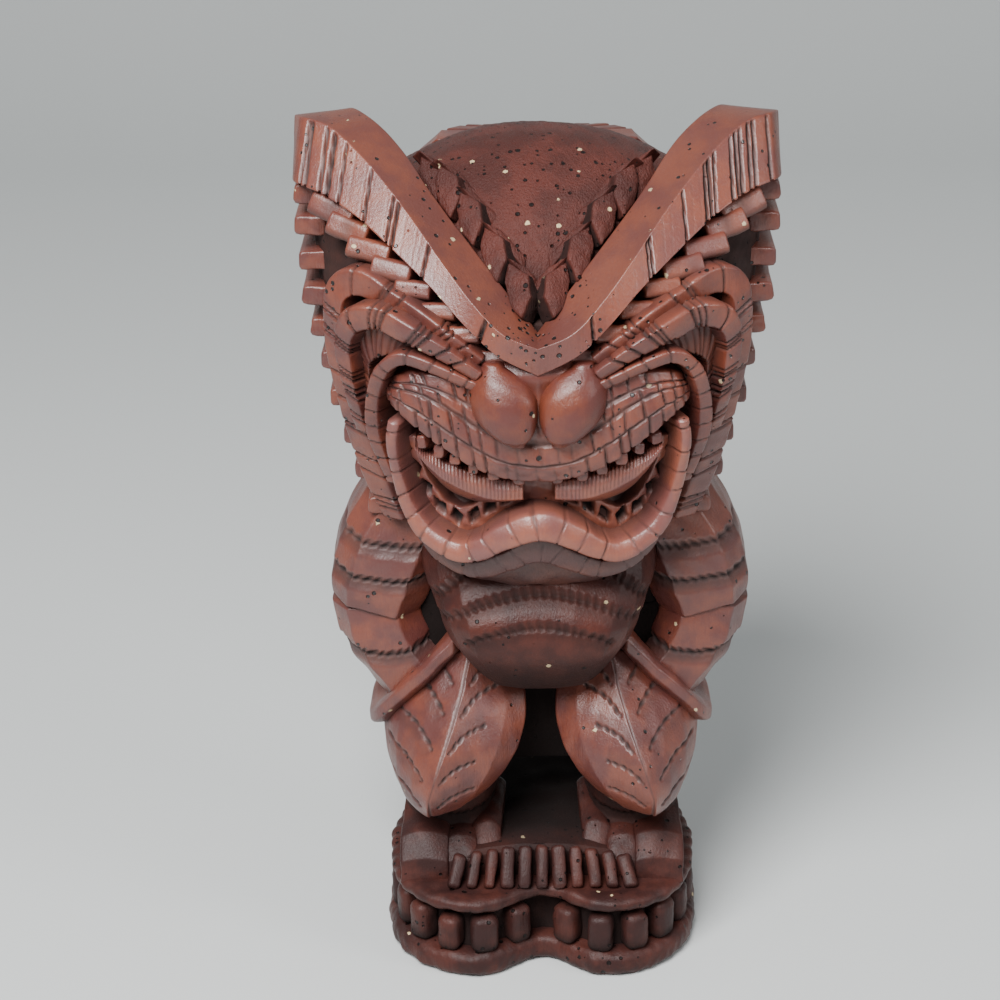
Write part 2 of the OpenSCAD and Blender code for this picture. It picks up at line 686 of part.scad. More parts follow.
module back_plate() {
  color(carving) skin([
    for (q = run(plate_rings))
      let (w = q[1], b = q[2])
      [
        for (p = [
          [w, b - 12], [w * 0.96, b - 5], [w * 0.7, b - 1.4], [0, b], [-w * 0.7, b - 1.4], [-w * 0.96, b - 5], [-w, b - 12]
        ]) on_head([p.x, p.y, q[0]])
      ]
  ]);
}

module back_chevrons() {
  p = run([for (q = plate_rings) [q[1], q[2], q[0]]], 12);
  first = 0.1;
  color(carving_dark) for (k = [0:chevron_count - 1]) {
    q = p[round((first + (k + 0.5) / chevron_count * 0.78) * (len(p) - 1))];
    w = q[0] * 0.56;
    arm = 4;
    translate(on_head([0, q[1] - 2.4, q[2]])) rotate([-90, 0, 0]) linear_extrude(4)
      polygon([[0, w * 0.55 + arm], [w, arm * 0.9], [w, 0], [0, w * 0.55], [-w, 0], [-w, arm * 0.9]]);
  }
}

// Two thick locks of hair run beside the plate down to the shoulders.
lock_line = [[38, 14, 66], [38.5, 20, 56], [37, 24, 44], [34, 26, 30], [30, 25.5, 16], [26, 23, 4], [23, 21, -6]];

module nape_locks() {
  p = run(lock_line, 2);
  color(carving) for (side = [-1, 1]) on_side(side) skin([
    for (i = [0:len(p) - 1])
      let (r = 7.5 * (1 - 0.25 * i / len(p)))
      [for (c = oval(r, r, r, 2.2, 12)) on_head(p[i] + [c.x, c.y, 0])]
  ]);
}

base_plinth();
base_waist();
base_pegs();
base_band();
base_mound();
base_ribs();
foot(-1);  // foot_left
foot(1);  // foot_right
shin(-1);  // shin_left
shin(1);  // shin_right
thigh(-1);  // thigh_left
thigh(1);  // thigh_right
seat();
belly();
upper_back();
hand(-1);  // hand_left
hand(1);  // hand_right
forearm(-1);  // forearm_left
forearm(1);  // forearm_right
upper_arm(-1);  // upper_arm_left
upper_arm(1);  // upper_arm_right
head_core();
skull();
jaw();
lower_lip();
chin_roll();
muzzle();
mouth_roll(-1);  // mouth_roll_left
mouth_roll(1);  // mouth_roll_right
lower_teeth();
upper_teeth();
nostril(-1);  // nostril_left
nostril(1);  // nostril_right
nose_bridge();
brow_band(-1);  // brow_band_left
brow_band(1);  // brow_band_right
eye_band(-1);  // eye_band_left
eye_band(1);  // eye_band_right
eye_panel(-1);  // eye_panel_left
eye_panel(1);  // eye_panel_right
cheek_ridge(-1);  // cheek_ridge_left
cheek_ridge(1);  // cheek_ridge_right
crest(-1);  // crest_left
crest(1);  // crest_right
crest_steps(-1);  // crest_steps_left
crest_steps(1);  // crest_steps_right
crown_leaves(-1);  // crown_leaves_left
crown_leaves(1);  // crown_leaves_right
side_comb(-1);  // side_comb_left
side_comb(1);  // side_comb_right
back_plate();
back_chevrons();
nape_locks();
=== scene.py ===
"""Looks of a carved tiki figurine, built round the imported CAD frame.

The figure is one rigid casting, so every piece rides on the body "root". Each carved region is its
own closed mesh: a grid of points with rows along a run and columns round it, into which knife cuts,
notches and pits are carved. Outlines are in drawn millimetres; `Figure` places them from the
frame's boxes, so a figure packed at other sizes is dressed in the same way.
"""

from __future__ import annotations

import logging
import math
from dataclasses import dataclass, replace
from enum import Enum
from typing import Iterable, Sequence

import bpy
import numpy as np
from mathutils import Euler, Matrix, Vector


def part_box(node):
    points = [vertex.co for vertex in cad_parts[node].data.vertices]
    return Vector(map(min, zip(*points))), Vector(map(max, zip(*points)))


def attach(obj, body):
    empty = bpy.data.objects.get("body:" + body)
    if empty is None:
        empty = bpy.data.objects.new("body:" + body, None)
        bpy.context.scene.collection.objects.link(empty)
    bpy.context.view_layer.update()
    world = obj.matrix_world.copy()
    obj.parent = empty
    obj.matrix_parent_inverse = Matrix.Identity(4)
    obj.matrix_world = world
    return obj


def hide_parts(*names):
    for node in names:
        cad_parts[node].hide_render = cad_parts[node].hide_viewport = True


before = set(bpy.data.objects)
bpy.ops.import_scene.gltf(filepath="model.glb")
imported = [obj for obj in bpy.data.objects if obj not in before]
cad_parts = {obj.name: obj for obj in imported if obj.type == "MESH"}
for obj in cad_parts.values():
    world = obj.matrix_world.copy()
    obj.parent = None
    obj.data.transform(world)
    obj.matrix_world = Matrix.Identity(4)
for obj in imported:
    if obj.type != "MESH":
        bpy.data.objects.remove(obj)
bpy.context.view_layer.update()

logging.basicConfig(level=logging.INFO, format="%(message)s")
log = logging.getLogger("tiki")

Array = np.ndarray
Stops = Sequence[Sequence[float]]
MM = 0.001
CELL = 0.32          # mm between the grid points of a carved surface


class Side(Enum):
    """A side of the figure, as the sign of its x."""

    LEFT = -1
    RIGHT = 1

    @property
    def node(self) -> str:
        """The ending of that side's CAD nodes."""
        return self.name.lower()


# ---------------------------------------------------------------- runs and grids


def unit(v: Array) -> Array:
    """Scales vectors to length one along their last axis."""
    return v / np.maximum(np.linalg.norm(v, axis=-1, keepdims=True), 1e-12)


def spline(stops: Array, dense: int = 24) -> Array:
    """Runs a Catmull-Rom curve through rows of numbers.

    Each span is half of 2b + (c-a)f + (2a-5b+4c-d)ff + (3b-a-3c+d)fff, for four rows a to d and a
    share f from 0 to 1.

    Args:
        stops: the rows to run through.
        dense: rows made for each span.

    Returns:
        The rows of the curve.
    """
    stops = np.asarray(stops, float)
    last = len(stops) - 1
    t = np.linspace(0, last, last * dense + 1)
    i = np.minimum(t.astype(int), last - 1)
    f = (t - i).reshape((-1,) + (1,) * (stops.ndim - 1))
    a, b, c, d = (stops[np.clip(i + k, 0, last)] for k in (-1, 0, 1, 2))
    return 0.5 * (2 * b + (c - a) * f + (2 * a - 5 * b + 4 * c - d) * f**2 + (3 * b - a - 3 * c + d) * f**3)


def respace(rows: Array, places: Array, cell: float) -> Array:
    """Takes rows at even steps along a line.

    Args:
        rows: numbers that change along the line.
        places: where each row is.
        cell: the step wanted, in the places' units.

    Returns:
        The rows at even steps, the first and last kept.
    """
    steps = np.linalg.norm(np.diff(places, axis=0), axis=-1)
    along = np.concatenate([[0.0], np.cumsum(steps)])
    count = max(6, int(math.ceil(along[-1] / cell)))
    want = np.linspace(0, along[-1], count + 1)
    flat = rows.reshape(len(rows), -1)
    out = np.stack([np.interp(want, along, column) for column in flat.T], axis=-1)
    return out.reshape((count + 1,) + rows.shape[1:])


def superoval(count: int, power: float, phase: float = 0.0) -> Array:
    """Points of the curve |x|^power + |y|^power = 1, by even angles."""
    a = np.linspace(0, 2 * math.pi, count, endpoint=False) + phase
    c, s = np.cos(a), np.sin(a)
    r = (np.abs(c) ** power + np.abs(s) ** power) ** (-1 / power)
    return np.stack([r * c, r * s], axis=-1)


def waver(points: Array, reach: float, seed: int) -> Array:
    """A smooth wobble between about -1 and 1: five sine waves in random directions, averaged.

    Args:
        points: where to take it.
        reach: the size of one wobble.
        seed: which wobble.

    Returns:
        One number for each point.
    """
    rng = np.random.default_rng(seed)
    total = 0.0
    for wave in rng.normal(size=(5, 3)):
        total = total + np.sin(points @ wave * (2.2 / reach) + rng.uniform(0, 6.28))
    return total / 3


def ramp(x: Array, low: float, high: float) -> Array:
    """Climbs smoothly from 0 at low to 1 at high."""
    t = np.clip((x - low) / (high - low), 0, 1)
    return t * t * (3 - 2 * t)


def from_path(at: Array, path: Stops) -> tuple[Array, Array]:
    """Measures points of a plane against a line through stops.

    Args:
        at: the points, as (..., 2).
        path: the line's stops.

    Returns:
        How far each point is to the line's left, and how far along the line it is.
    """
    line = np.asarray(path, float)
    start, step = line[:-1], np.diff(line, axis=0)
    length = np.linalg.norm(step, axis=-1)
    gone = np.concatenate([[0.0], np.cumsum(length)[:-1]])
    off = at[..., None, :] - start
    share = np.clip((off * step).sum(-1) / length**2, 0, 1)
    away = off - share[..., None] * step
    gap = np.linalg.norm(away, axis=-1)
    near = gap.argmin(-1)[..., None]
    turn = np.sign(step[..., 0] * off[..., 1] - step[..., 1] * off[..., 0])
    pick = lambda values: np.take_along_axis(values, near, -1)[..., 0]
    return pick(gap * turn), pick(gone + share * length)


class Skin:
    """A closed tube of points: rows along a run, columns round it, in drawn millimetres.

    Attributes:
        grid: the points, as (rows, columns, 3).
        shade: painted shade from 0 to 1, for points in cuts, recesses and under other parts.
        pores: how much more pitted than its finish each point is, from 0 to 1.
    """

    def __init__(self, grid: Array) -> None:
        """Takes the points, and finds out which way round they wind."""
        self.grid = np.asarray(grid, float)
        self.shade = np.zeros(self.grid.shape[:2])
        self.pores = np.zeros(self.grid.shape[:2])
        self._sign = 1.0
        middle = self.grid.mean(axis=1, keepdims=True)
        if (self.outward() * (self.grid - middle)).sum() < 0:
            self._sign = -1.0

    def outward(self) -> Array:
        """The unit normals: the rows' direction crossed with the columns'."""
        down = np.gradient(self.grid, axis=0)
        round_ = np.roll(self.grid, -1, 1) - np.roll(self.grid, 1, 1)
        return unit(np.cross(round_, down)) * self._sign

    def soften(self, passes: int, rows: int = 0) -> Skin:
        """Rounds the corners: each pass takes a quarter from both neighbours."""
        for _ in range(passes):
            self.grid = (np.roll(self.grid, 1, 1) + 2 * self.grid + np.roll(self.grid, -1, 1)) / 4
        for _ in range(rows):
            self.grid[1:-1] = (self.grid[:-2] + 2 * self.grid[1:-1] + self.grid[2:]) / 4
        return self

    def carve(self, depth: Array, shade: float = 1.0) -> Skin:
        """Sinks each point by its depth in mm, and paints shade on it by depth times shade."""
        self.grid = self.grid - self.outward() * depth[..., None]
        self.shade = np.maximum(self.shade, np.clip(depth * shade, 0, 1))
        return self

    def darken(self, amount: Array | float) -> Skin:
        """Paints points darker without moving them, in the same painted shade that cuts get."""
        self.shade = np.maximum(self.shade, np.clip(amount, 0, 1) * np.ones_like(self.shade))
        return self

    def rough(self, amount: float, reach: float, seed: int) -> Skin:
        """Adds a hand-cut wobble of amount mm, over about reach mm."""
        self.grid = self.grid + self.outward() * (waver(self.grid, reach, seed) * amount)[..., None]
        return self

    def mirrored(self) -> Skin:
        """The same skin on the other side of the figure."""
        twin = Skin(self.grid * np.array([-1.0, 1.0, 1.0]))
        twin.shade, twin.pores = self.shade, self.pores
        return twin

    def rounded_ends(self, radius: float, steps: int = 4) -> Skin:
        """Closes both ends with a quarter round: out by r sin a, in by r (1 - cos a)."""
        if radius <= 0:
            return self
        front, back = [], []
        for rows, ring, inner in ((front, self.grid[0], self.grid[1]), (back, self.grid[-1], self.grid[-2])):
            middle = ring.mean(0)
            away = unit(middle - inner.mean(0))
            spread = np.maximum(np.linalg.norm(ring - middle, axis=-1, keepdims=True), 1e-6)
            for k in range(1, steps + 1):
                a = k / steps * math.pi / 2
                shrink = np.clip(1 - radius * (1 - math.cos(a)) / spread, 0.02, 1)
                rows.append(middle + (ring - middle) * shrink + away * radius * math.sin(a))
        self.grid = np.concatenate([front[::-1], self.grid, back])
        ends = ((steps, steps), (0, 0))
        self.shade = np.pad(self.shade, ends, mode="edge")
        self.pores = np.pad(self.pores, ends, mode="edge")
        return self


def along_of(grid: Array) -> Array:
    """How far each row of a grid is along its middle line, in mm, as a column."""
    middle = grid.mean(axis=1)
    steps = np.linalg.norm(np.diff(middle, axis=0), axis=-1)
    return np.concatenate([[0.0], np.cumsum(steps)])[:, None]


def loft(rings: Array, cell: float = CELL, corners: int = 0, smooth_round: bool = False,
         dense: int = 24) -> Skin:
    """Runs a skin through control rings that all have the same number of points.

    Args:
        rings: the control points, as (rings, points, 3).
        cell: the grid's step in mm.
        corners: passes that round the corners of the rings.
        smooth_round: runs a curve round each ring, instead of straight facets.
        dense: rows made for each span before they are spaced evenly.

    Returns:
        The skin.
    """
    rings = np.asarray(rings, float)
    rows = spline(rings, dense)
    girth = np.linalg.norm(np.roll(rows, -1, 1) - rows, axis=-1).sum(-1).max()
    per_edge = max(2, int(round(girth / rings.shape[1] / cell)))
    if smooth_round:
        looped = np.moveaxis(np.concatenate([rows[:, -1:], rows, rows[:, :2]], axis=1), 1, 0)
        curve = spline(looped, per_edge)[per_edge : per_edge * (rings.shape[1] + 1)]
        rows = np.moveaxis(curve, 0, 1)
    else:
        share = (np.arange(per_edge) / per_edge)[None, None, :, None]
        rows = rows[:, :, None] * (1 - share) + np.roll(rows, -1, 1)[:, :, None] * share
        rows = rows.reshape(len(rows), -1, 3)
    travel = np.linalg.norm(np.diff(rows, axis=0), axis=-1).max(axis=1)
    places = np.concatenate([[0.0], np.cumsum(travel)])[:, None]
    return Skin(respace(rows, places, cell)).soften(corners)


def block(size: Sequence[float], centre: Array, axes: Array, power: float = 7.0, bevel: float = 0.35) -> Skin:
    """A small block with rounded edges.

    Args:
        size: its lengths along the three axes.
        centre: its middle.
        axes: three unit rows; the block is drawn as rings along the third.
        power: how square its rings are.
        bevel: the rounding of its two ends.

    Returns:
        The skin.
    """
    ring = superoval(28, power, math.pi / 28) * (np.array(size[:2]) / 2)
    half = size[2] / 2 - bevel
    levels = np.linspace(-half, half, 5)
    flat = np.concatenate([np.repeat(ring[None], 5, 0), np.repeat(levels[:, None, None], 28, 1)], axis=-1)
    return Skin(centre + flat @ np.asarray(axes)).rounded_ends(bevel)


# ---------------------------------------------------------------- where things are


@dataclass(frozen=True)
class Place:
    """Puts drawn millimetres into the frame: point times scale plus offset.

    Attributes:
        scale: how the frame stretches the drawing, on each axis.
        offset: where the drawing's origin is, in mm.
    """

    scale: tuple[float, float, float]
    offset: tuple[float, float, float]

    def metres(self, points: Array) -> Array:
        """Drawn points as frame metres."""
        return (points * np.array(self.scale) + np.array(self.offset)) * MM


def box_mm(node: str) -> tuple[Array, Array]:
    """A CAD node's corners in millimetres."""
    low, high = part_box(node)
    return np.array(low) / MM, np.array(high) / MM


class Figure:
    """Where each part of the drawing lies in the frame, worked out from the CAD nodes' boxes."""

    drawn_crest = (47.2, 86.0)       # the crest's half width, and its height over the jaw
    drawn_core = (-33.8, 33.0, -2.0)  # the head core's front, back and lowest level
    drawn_base = (33.0, 58.6)        # the base's half width and depth
    drawn_leg = 49.0                 # from the base's band to the hips
    drawn_elbow = 42.9
    drawn_torso = 25.0               # from the hips to the jaw

    def __init__(self) -> None:
        """Reads the boxes and works out each part's place."""
        crest_high = box_mm("crest_right")[1]
        core_low, core_high = box_mm("head_core")
        plinth_low, plinth_high = box_mm("base_plinth")
        band_high = box_mm("base_band")[1]
        hips = box_mm("thigh_right")[1][2]
        elbow = box_mm("upper_arm_right")[1][0]
        sx = crest_high[0] / self.drawn_crest[0]
        sy = (core_high[1] - core_low[1]) / (self.drawn_core[1] - self.drawn_core[0])
        sz = (crest_high[2] - core_low[2]) / (self.drawn_crest[1] - self.drawn_core[2])
        self.jaw = core_low[2] - self.drawn_core[2] * sz
        self.head = Place((sx, sy, sz), (0, core_low[1] - self.drawn_core[0] * sy, self.jaw))
        bx = plinth_high[0] / self.drawn_base[0]
        by = (plinth_high[1] - plinth_low[1]) / self.drawn_base[1]
        self.base_top = band_high[2]
        self.leg = Place((bx, by, (hips - band_high[2]) / self.drawn_leg), (0, 0, band_high[2]))
        self.base = Place((bx, by, 1.0), (0, 0, 0))
        self.torso = Place((elbow / self.drawn_elbow, by, (self.jaw - hips) / self.drawn_torso), (0, 0, hips))


@dataclass(frozen=True)
class Face:
    """The bare front of the head, on which bands, lips and teeth are laid.

    At each height it is half of the curve |x/a|^p + |y/b|^p = 1.

    Attributes:
        heights: heights over the jaw.
        widths: half widths a at those heights.
        depths: front depths b at those heights.
        power: the p of the curve.
    """

    heights: tuple[float, ...] = (-12, 0, 8, 18, 28, 43, 53, 58, 63, 73, 90)
    widths: tuple[float, ...] = (20, 27, 30, 34, 37, 41, 42.3, 43, 43.3, 44, 42)
    depths: tuple[float, ...] = (14, 22, 25, 27, 31, 33, 34, 31.5, 29, 20, 4)
    power: float = 2.4

    def at(self, x: Array, up: Array, out: Array | float = 0.0) -> Array:
        """Drawn points at x across and up over the jaw, standing proud by out."""
        a = np.interp(up, self.heights, self.widths) + out
        b = np.interp(up, self.heights, self.depths) + out
        t = np.minimum(np.abs(x) / a, 0.997)
        return np.stack([x + 0 * b, -b * (1 - t**self.power) ** (1 / self.power), up + 0 * b], axis=-1)

    def outward(self, x: Array, up: Array, out: Array | float = 0.0) -> Array:
        """Unit directions that the face looks in at those places, level with the ground."""
        a = np.interp(up, self.heights, self.widths) + out
        b = np.interp(up, self.heights, self.depths) + out
        t = np.minimum(np.abs(x) / a, 0.97)
        nx = np.sign(x) * t ** (self.power - 1) / a
        ny = -((1 - t**self.power) ** ((self.power - 1) / self.power)) / b
        return unit(np.stack([nx, ny, 0 * nx], axis=-1))


FACE = Face()


# ---------------------------------------------------------------- knife work


@dataclass(frozen=True)
class Cuts:
    """Knife cuts across a band.

    Attributes:
        at: where along the band each cut is, as a share of its length.
        width: how wide a cut is at the surface, in mm.
        depth: how deep it goes, in mm.
        skew: how far a cut leans along the band from one edge to the other, in mm.
        seed: sets the small differences between the cuts.
    """

    at: tuple[float, ...]
    width: float = 0.8
    depth: float = 0.9
    skew: float = 0.0
    seed: int = 1

    def depths(self, along: Array, across: Array) -> Array:
        """The depth at each point: for each cut a V that fades towards one edge.

        Args:
            along: mm along the band.
            across: -1 at one edge to 1 at the other.

        Returns:
            The deepest cut at each point, in mm.
        """
        rng = np.random.default_rng(self.seed)
        deepest = np.zeros(np.broadcast(along, across).shape)
        for share in self.at:
            middle = share * along.max() + rng.normal(0, 0.12)
            lean = self.skew + rng.normal(0, 0.25)
            wide = self.width * rng.uniform(0.7, 1.3) / 2
            fade = rng.uniform(-0.45, 0.45)
            off = np.abs(along - middle - lean * across / 2)
            v = np.clip(1 - off / wide, 0, 1) * np.clip(1 + fade * across, 0, 1.2)
            deepest = np.maximum(deepest, v * self.depth)
        return deepest


def groups(places: Sequence[float], gap: float = 0.022, seed: int = 3) -> tuple[float, ...]:
    """Spreads each place into one to three neighbouring cuts."""
    rng = np.random.default_rng(seed)
    return tuple(p + k * gap * rng.uniform(0.8, 1.2) for p in places for k in range(int(rng.integers(1, 4))))


def evenly(count: int, jitter: float = 0.15, seed: int = 5) -> tuple[float, ...]:
    """Shares of a length at roughly even steps."""
    rng = np.random.default_rng(seed)
    return tuple((k + 0.5 + rng.uniform(-jitter, jitter)) / count for k in range(count))


@dataclass(frozen=True)
class NotchRow:
    """A ragged row of slanted notches along a line.

    Attributes:
        path: the line, in the plane that the row is measured in.
        reach: how far a notch reaches to either side of the line.
        pitch: from one notch to the next.
        depth: how deep they are.
        lean: how much a notch slants.
        step: how far the surface drops on the line's right, so that the row reads as an edge.
    """

    path: tuple[tuple[float, float], ...]
    reach: float = 1.2
    pitch: float = 1.7
    depth: float = 0.9
    lean: float = 0.5
    step: float = 0.5

    def depths(self, at: Array, seed: int) -> Array:
        """Depth at each point: a triangle wave along the line, fading away from it."""
        line = spline(np.asarray(self.path, float), 8)
        aside, along = from_path(at, line)
        total = np.linalg.norm(np.diff(line, axis=0), axis=-1).sum()
        wobble = waver(np.concatenate([at, at[..., :1]], -1), 3.0, seed) * 0.35
        wave = np.abs(((along + self.lean * aside + wobble) / self.pitch) % 1 - 0.5) * 2
        ends = ramp(along, 0, 0.6) * (1 - ramp(along, total - 0.6, total))
        near = np.clip(1 - np.abs(aside / (self.reach * (0.75 + 0.4 * wave))) ** 2, 0, 1)
        drop = self.step * ramp(-aside, -0.2, 0.3) * (1 - ramp(-aside, 1.2, 3.4)) * ends
        return near * (0.3 + 0.7 * wave) * self.depth * ends + drop * 0.8


# ---------------------------------------------------------------- shaders


class Socket:
    """A shader value that can be added, multiplied and so on as if it were a number."""

    def __init__(self, graph: Graph, socket: bpy.types.NodeSocket) -> None:
        """Holds a socket of a graph."""
        self.graph = graph
        self.socket = socket

    def _math(self, operation: str, *values: Socket | float) -> Socket:
        """Adds a Math node for the operation."""
        return self.graph.node("ShaderNodeMath", values, operation=operation)

    def __add__(self, other: Socket | float) -> Socket:
        """The sum."""
        return self._math("ADD", self, other)

    def __sub__(self, other: Socket | float) -> Socket:
        """The difference."""
        return self._math("SUBTRACT", self, other)

    def __mul__(self, other: Socket | float) -> Socket:
        """The product."""
        return self._math("MULTIPLY", self, other)

    def __truediv__(self, other: Socket | float) -> Socket:
        """The quotient."""
        return self._math("DIVIDE", self, other)

    def __rsub__(self, other: float) -> Socket:
        """A number less this value."""
        return self._math("SUBTRACT", other, self)

    def __rtruediv__(self, other: float) -> Socket:
        """A number over this value."""
        return self._math("DIVIDE", other, self)

    __radd__ = __add__
    __rmul__ = __mul__

    def above(self, limit: Socket | float) -> Socket:
        """1 where the value is over the limit, else 0."""
        return self._math("GREATER_THAN", self, limit)

    def most(self, other: Socket | float) -> Socket:
        """The larger of two values."""
        return self._math("MAXIMUM", self, other)

    def power(self, exponent: float) -> Socket:
        """The value raised to a power."""
        return self._math("POWER", self, exponent)

    def ramp(self, low: Socket | float, high: Socket | float) -> Socket:
        """0 below low, 1 above high, smooth in between."""
        return self.graph.node("ShaderNodeMapRange", {"Value": self, "From Min": low, "From Max": high},
                               interpolation_type="SMOOTHSTEP")


class Graph:
    """A material's node tree, built by calls."""

    def __init__(self, tree: bpy.types.NodeTree) -> None:
        """Takes a tree and empties it."""
        self.tree = tree
        tree.nodes.clear()

    def node(self, kind: str, inputs: dict | Sequence = (), output: int | str = 0, **settings) -> Socket:
        """Adds a node.

        Args:
            kind: the node's type.
            inputs: constants or sockets, by input name or in order.
            output: which output to return.
            **settings: the node's own settings.

        Returns:
            That output.
        """
        made = self.tree.nodes.new(kind)
        for name, value in settings.items():
            setattr(made, name, value)
        for key, value in inputs.items() if isinstance(inputs, dict) else enumerate(inputs):
            if isinstance(value, Socket):
                self.tree.links.new(value.socket, made.inputs[key])
            else:
                made.inputs[key].default_value = value
        return Socket(self, made.outputs[output] if len(made.outputs) else None)

    def mix(self, share: Socket | float, first: Socket | tuple, second: Socket | tuple) -> Socket:
        """Blends two colours."""
        made = self.tree.nodes.new("ShaderNodeMix")
        made.data_type = "RGBA"
        for key, value in ((0, share), (6, first), (7, second)):
            if isinstance(value, Socket):
                self.tree.links.new(value.socket, made.inputs[key])
            else:
                made.inputs[key].default_value = value
        return Socket(self, made.outputs[2])


Colour = tuple[float, float, float, float]


@dataclass(frozen=True)
class Finish:
    """How one part of the casting is stained and worn; some finishes also carry painted shade and sheen.

    Attributes:
        name: the material's name.
        warm: the orange-brown of worn places.
        cool: the maroon of the rest.
        pale: the pink of upward faces, for pale dust and painted sheen.
        dust_and_sheen: how much of that dust and painted sheen there is.
        streaks: depth of the fine upright grain, in mm.
        pits: share of the places that hold a casting bubble.
        specks: share of the places that hold a pale speck.
        roughness: roughness of the bare surface.
        shine: how strongly the surface reflects.
    """

    name: str
    warm: Colour = (0.160, 0.040, 0.022, 1)
    cool: Colour = (0.088, 0.023, 0.019, 1)
    pale: Colour = (0.25, 0.105, 0.088, 1)
    dust_and_sheen: float = 0.10
    streaks: float = 0.05
    pits: float = 0.16
    specks: float = 0.012
    roughness: float = 0.36
    shine: float = 0.68


# Near black: the painted shade of cuts, recesses and pits.
PAINTED_SHADE_COLOUR: Colour = (0.007, 0.0035, 0.003, 1)
SPECK: Colour = (0.52, 0.40, 0.24, 1)


def carving_material(finish: Finish) -> bpy.types.Material:
    """Builds the stained casting: mottled colour, grain, pits, specks, dust and painted sheen, painted shade.

    Args:
        finish: the amounts.

    Returns:
        The material.
    """
    material = bpy.data.materials.new(finish.name)
    material.use_nodes = True
    g = Graph(material.node_tree)
    here = g.node("ShaderNodeTexCoord", output="Object")
    mm = g.node("ShaderNodeVectorMath", {0: here, 3: 1000.0}, operation="SCALE")
    # cut: the shade attribute, the painted shade of cuts, recesses and undersides.
    cut = g.node("ShaderNodeAttribute", output="Fac", attribute_name="shade")

    mottle = g.node("ShaderNodeTexNoise", {"Vector": mm, "Scale": 0.11, "Detail": 4.0, "Roughness": 0.6})
    fine = g.node("ShaderNodeTexNoise", {"Vector": mm, "Scale": 1.7, "Detail": 5.0, "Roughness": 0.65})
    drawn_out = g.node("ShaderNodeMapping", {"Vector": mm, "Scale": (2.6, 2.6, 0.32)})
    grain = g.node("ShaderNodeTexNoise", {"Vector": drawn_out, "Scale": 1.0, "Detail": 4.0, "Roughness": 0.6})

    cells = g.tree.nodes.new("ShaderNodeTexVoronoi")
    cells.inputs["Scale"].default_value = 0.8
    g.tree.links.new(mm.socket, cells.inputs["Vector"])
    pit_gap, pick = Socket(g, cells.outputs["Distance"]), Socket(g, cells.outputs["Color"])
    chance = g.node("ShaderNodeSeparateColor", {0: pick})
    size = g.node("ShaderNodeSeparateColor", {0: pick}, output=1)
    porous = g.node("ShaderNodeAttribute", output="Fac", attribute_name="pores")
    # Casting pits are bumps, and are also painted near black below, as painted shade inside the holes.
    wanted = (finish.pits + porous * 0.6).above(chance)
    radius = 0.14 + size * size * 0.30
    pit = (1 - (pit_gap / radius).ramp(0.7, 1.1)) * wanted

    moved = g.node("ShaderNodeMapping", {"Vector": mm, "Location": (31.0, 17.0, 5.0)})
    crumbs = g.tree.nodes.new("ShaderNodeTexVoronoi")
    crumbs.inputs["Scale"].default_value = 0.5
    g.tree.links.new(moved.socket, crumbs.inputs["Vector"])
    speck_pick = g.node("ShaderNodeSeparateColor", {0: Socket(g, crumbs.outputs["Color"])}, output=1)
    ragged = Socket(g, crumbs.outputs["Distance"]) + fine * 0.5
    speck = (1 - ragged.ramp(0.46, 0.51)) * speck_pick.above(1 - finish.specks)

    # Dust and painted sheen: upward faces are painted towards the pale pink.
    tilt = g.node("ShaderNodeSeparateXYZ", {0: g.node("ShaderNodeNewGeometry", output="Normal")}, output=2)
    dust_and_sheen_share = tilt.ramp(0.05, 0.95) * finish.dust_and_sheen * (0.6 + 0.8 * fine)
    colour = g.mix(mottle.ramp(0.38, 0.62), finish.cool, finish.warm)
    colour = g.mix(grain.ramp(0.3, 0.75) * 0.4, colour, finish.cool)
    colour = g.mix(dust_and_sheen_share, colour, finish.pale)
    colour = g.mix(speck, colour, SPECK)
    # Painted shade: cuts, recesses and pits are painted towards near black.
    colour = g.mix(cut.power(0.7).most(pit), colour, PAINTED_SHADE_COLOUR)

    relief = fine * 0.08 + grain * finish.streaks - pit * 0.45 + speck * 0.08
    bump = g.node("ShaderNodeBump", {"Strength": 1.0, "Distance": MM, "Height": relief})
    shader = g.node("ShaderNodeBsdfPrincipled", {
        "Base Color": colour,
        "Roughness": (finish.roughness + (fine - 0.5) * 0.22 + cut * 0.6),
        "Normal": bump,
        "Specular IOR Level": finish.shine,
    })
    g.node("ShaderNodeOutputMaterial", {"Surface": shader})
    return material


# ---------------------------------------------------------------- pieces


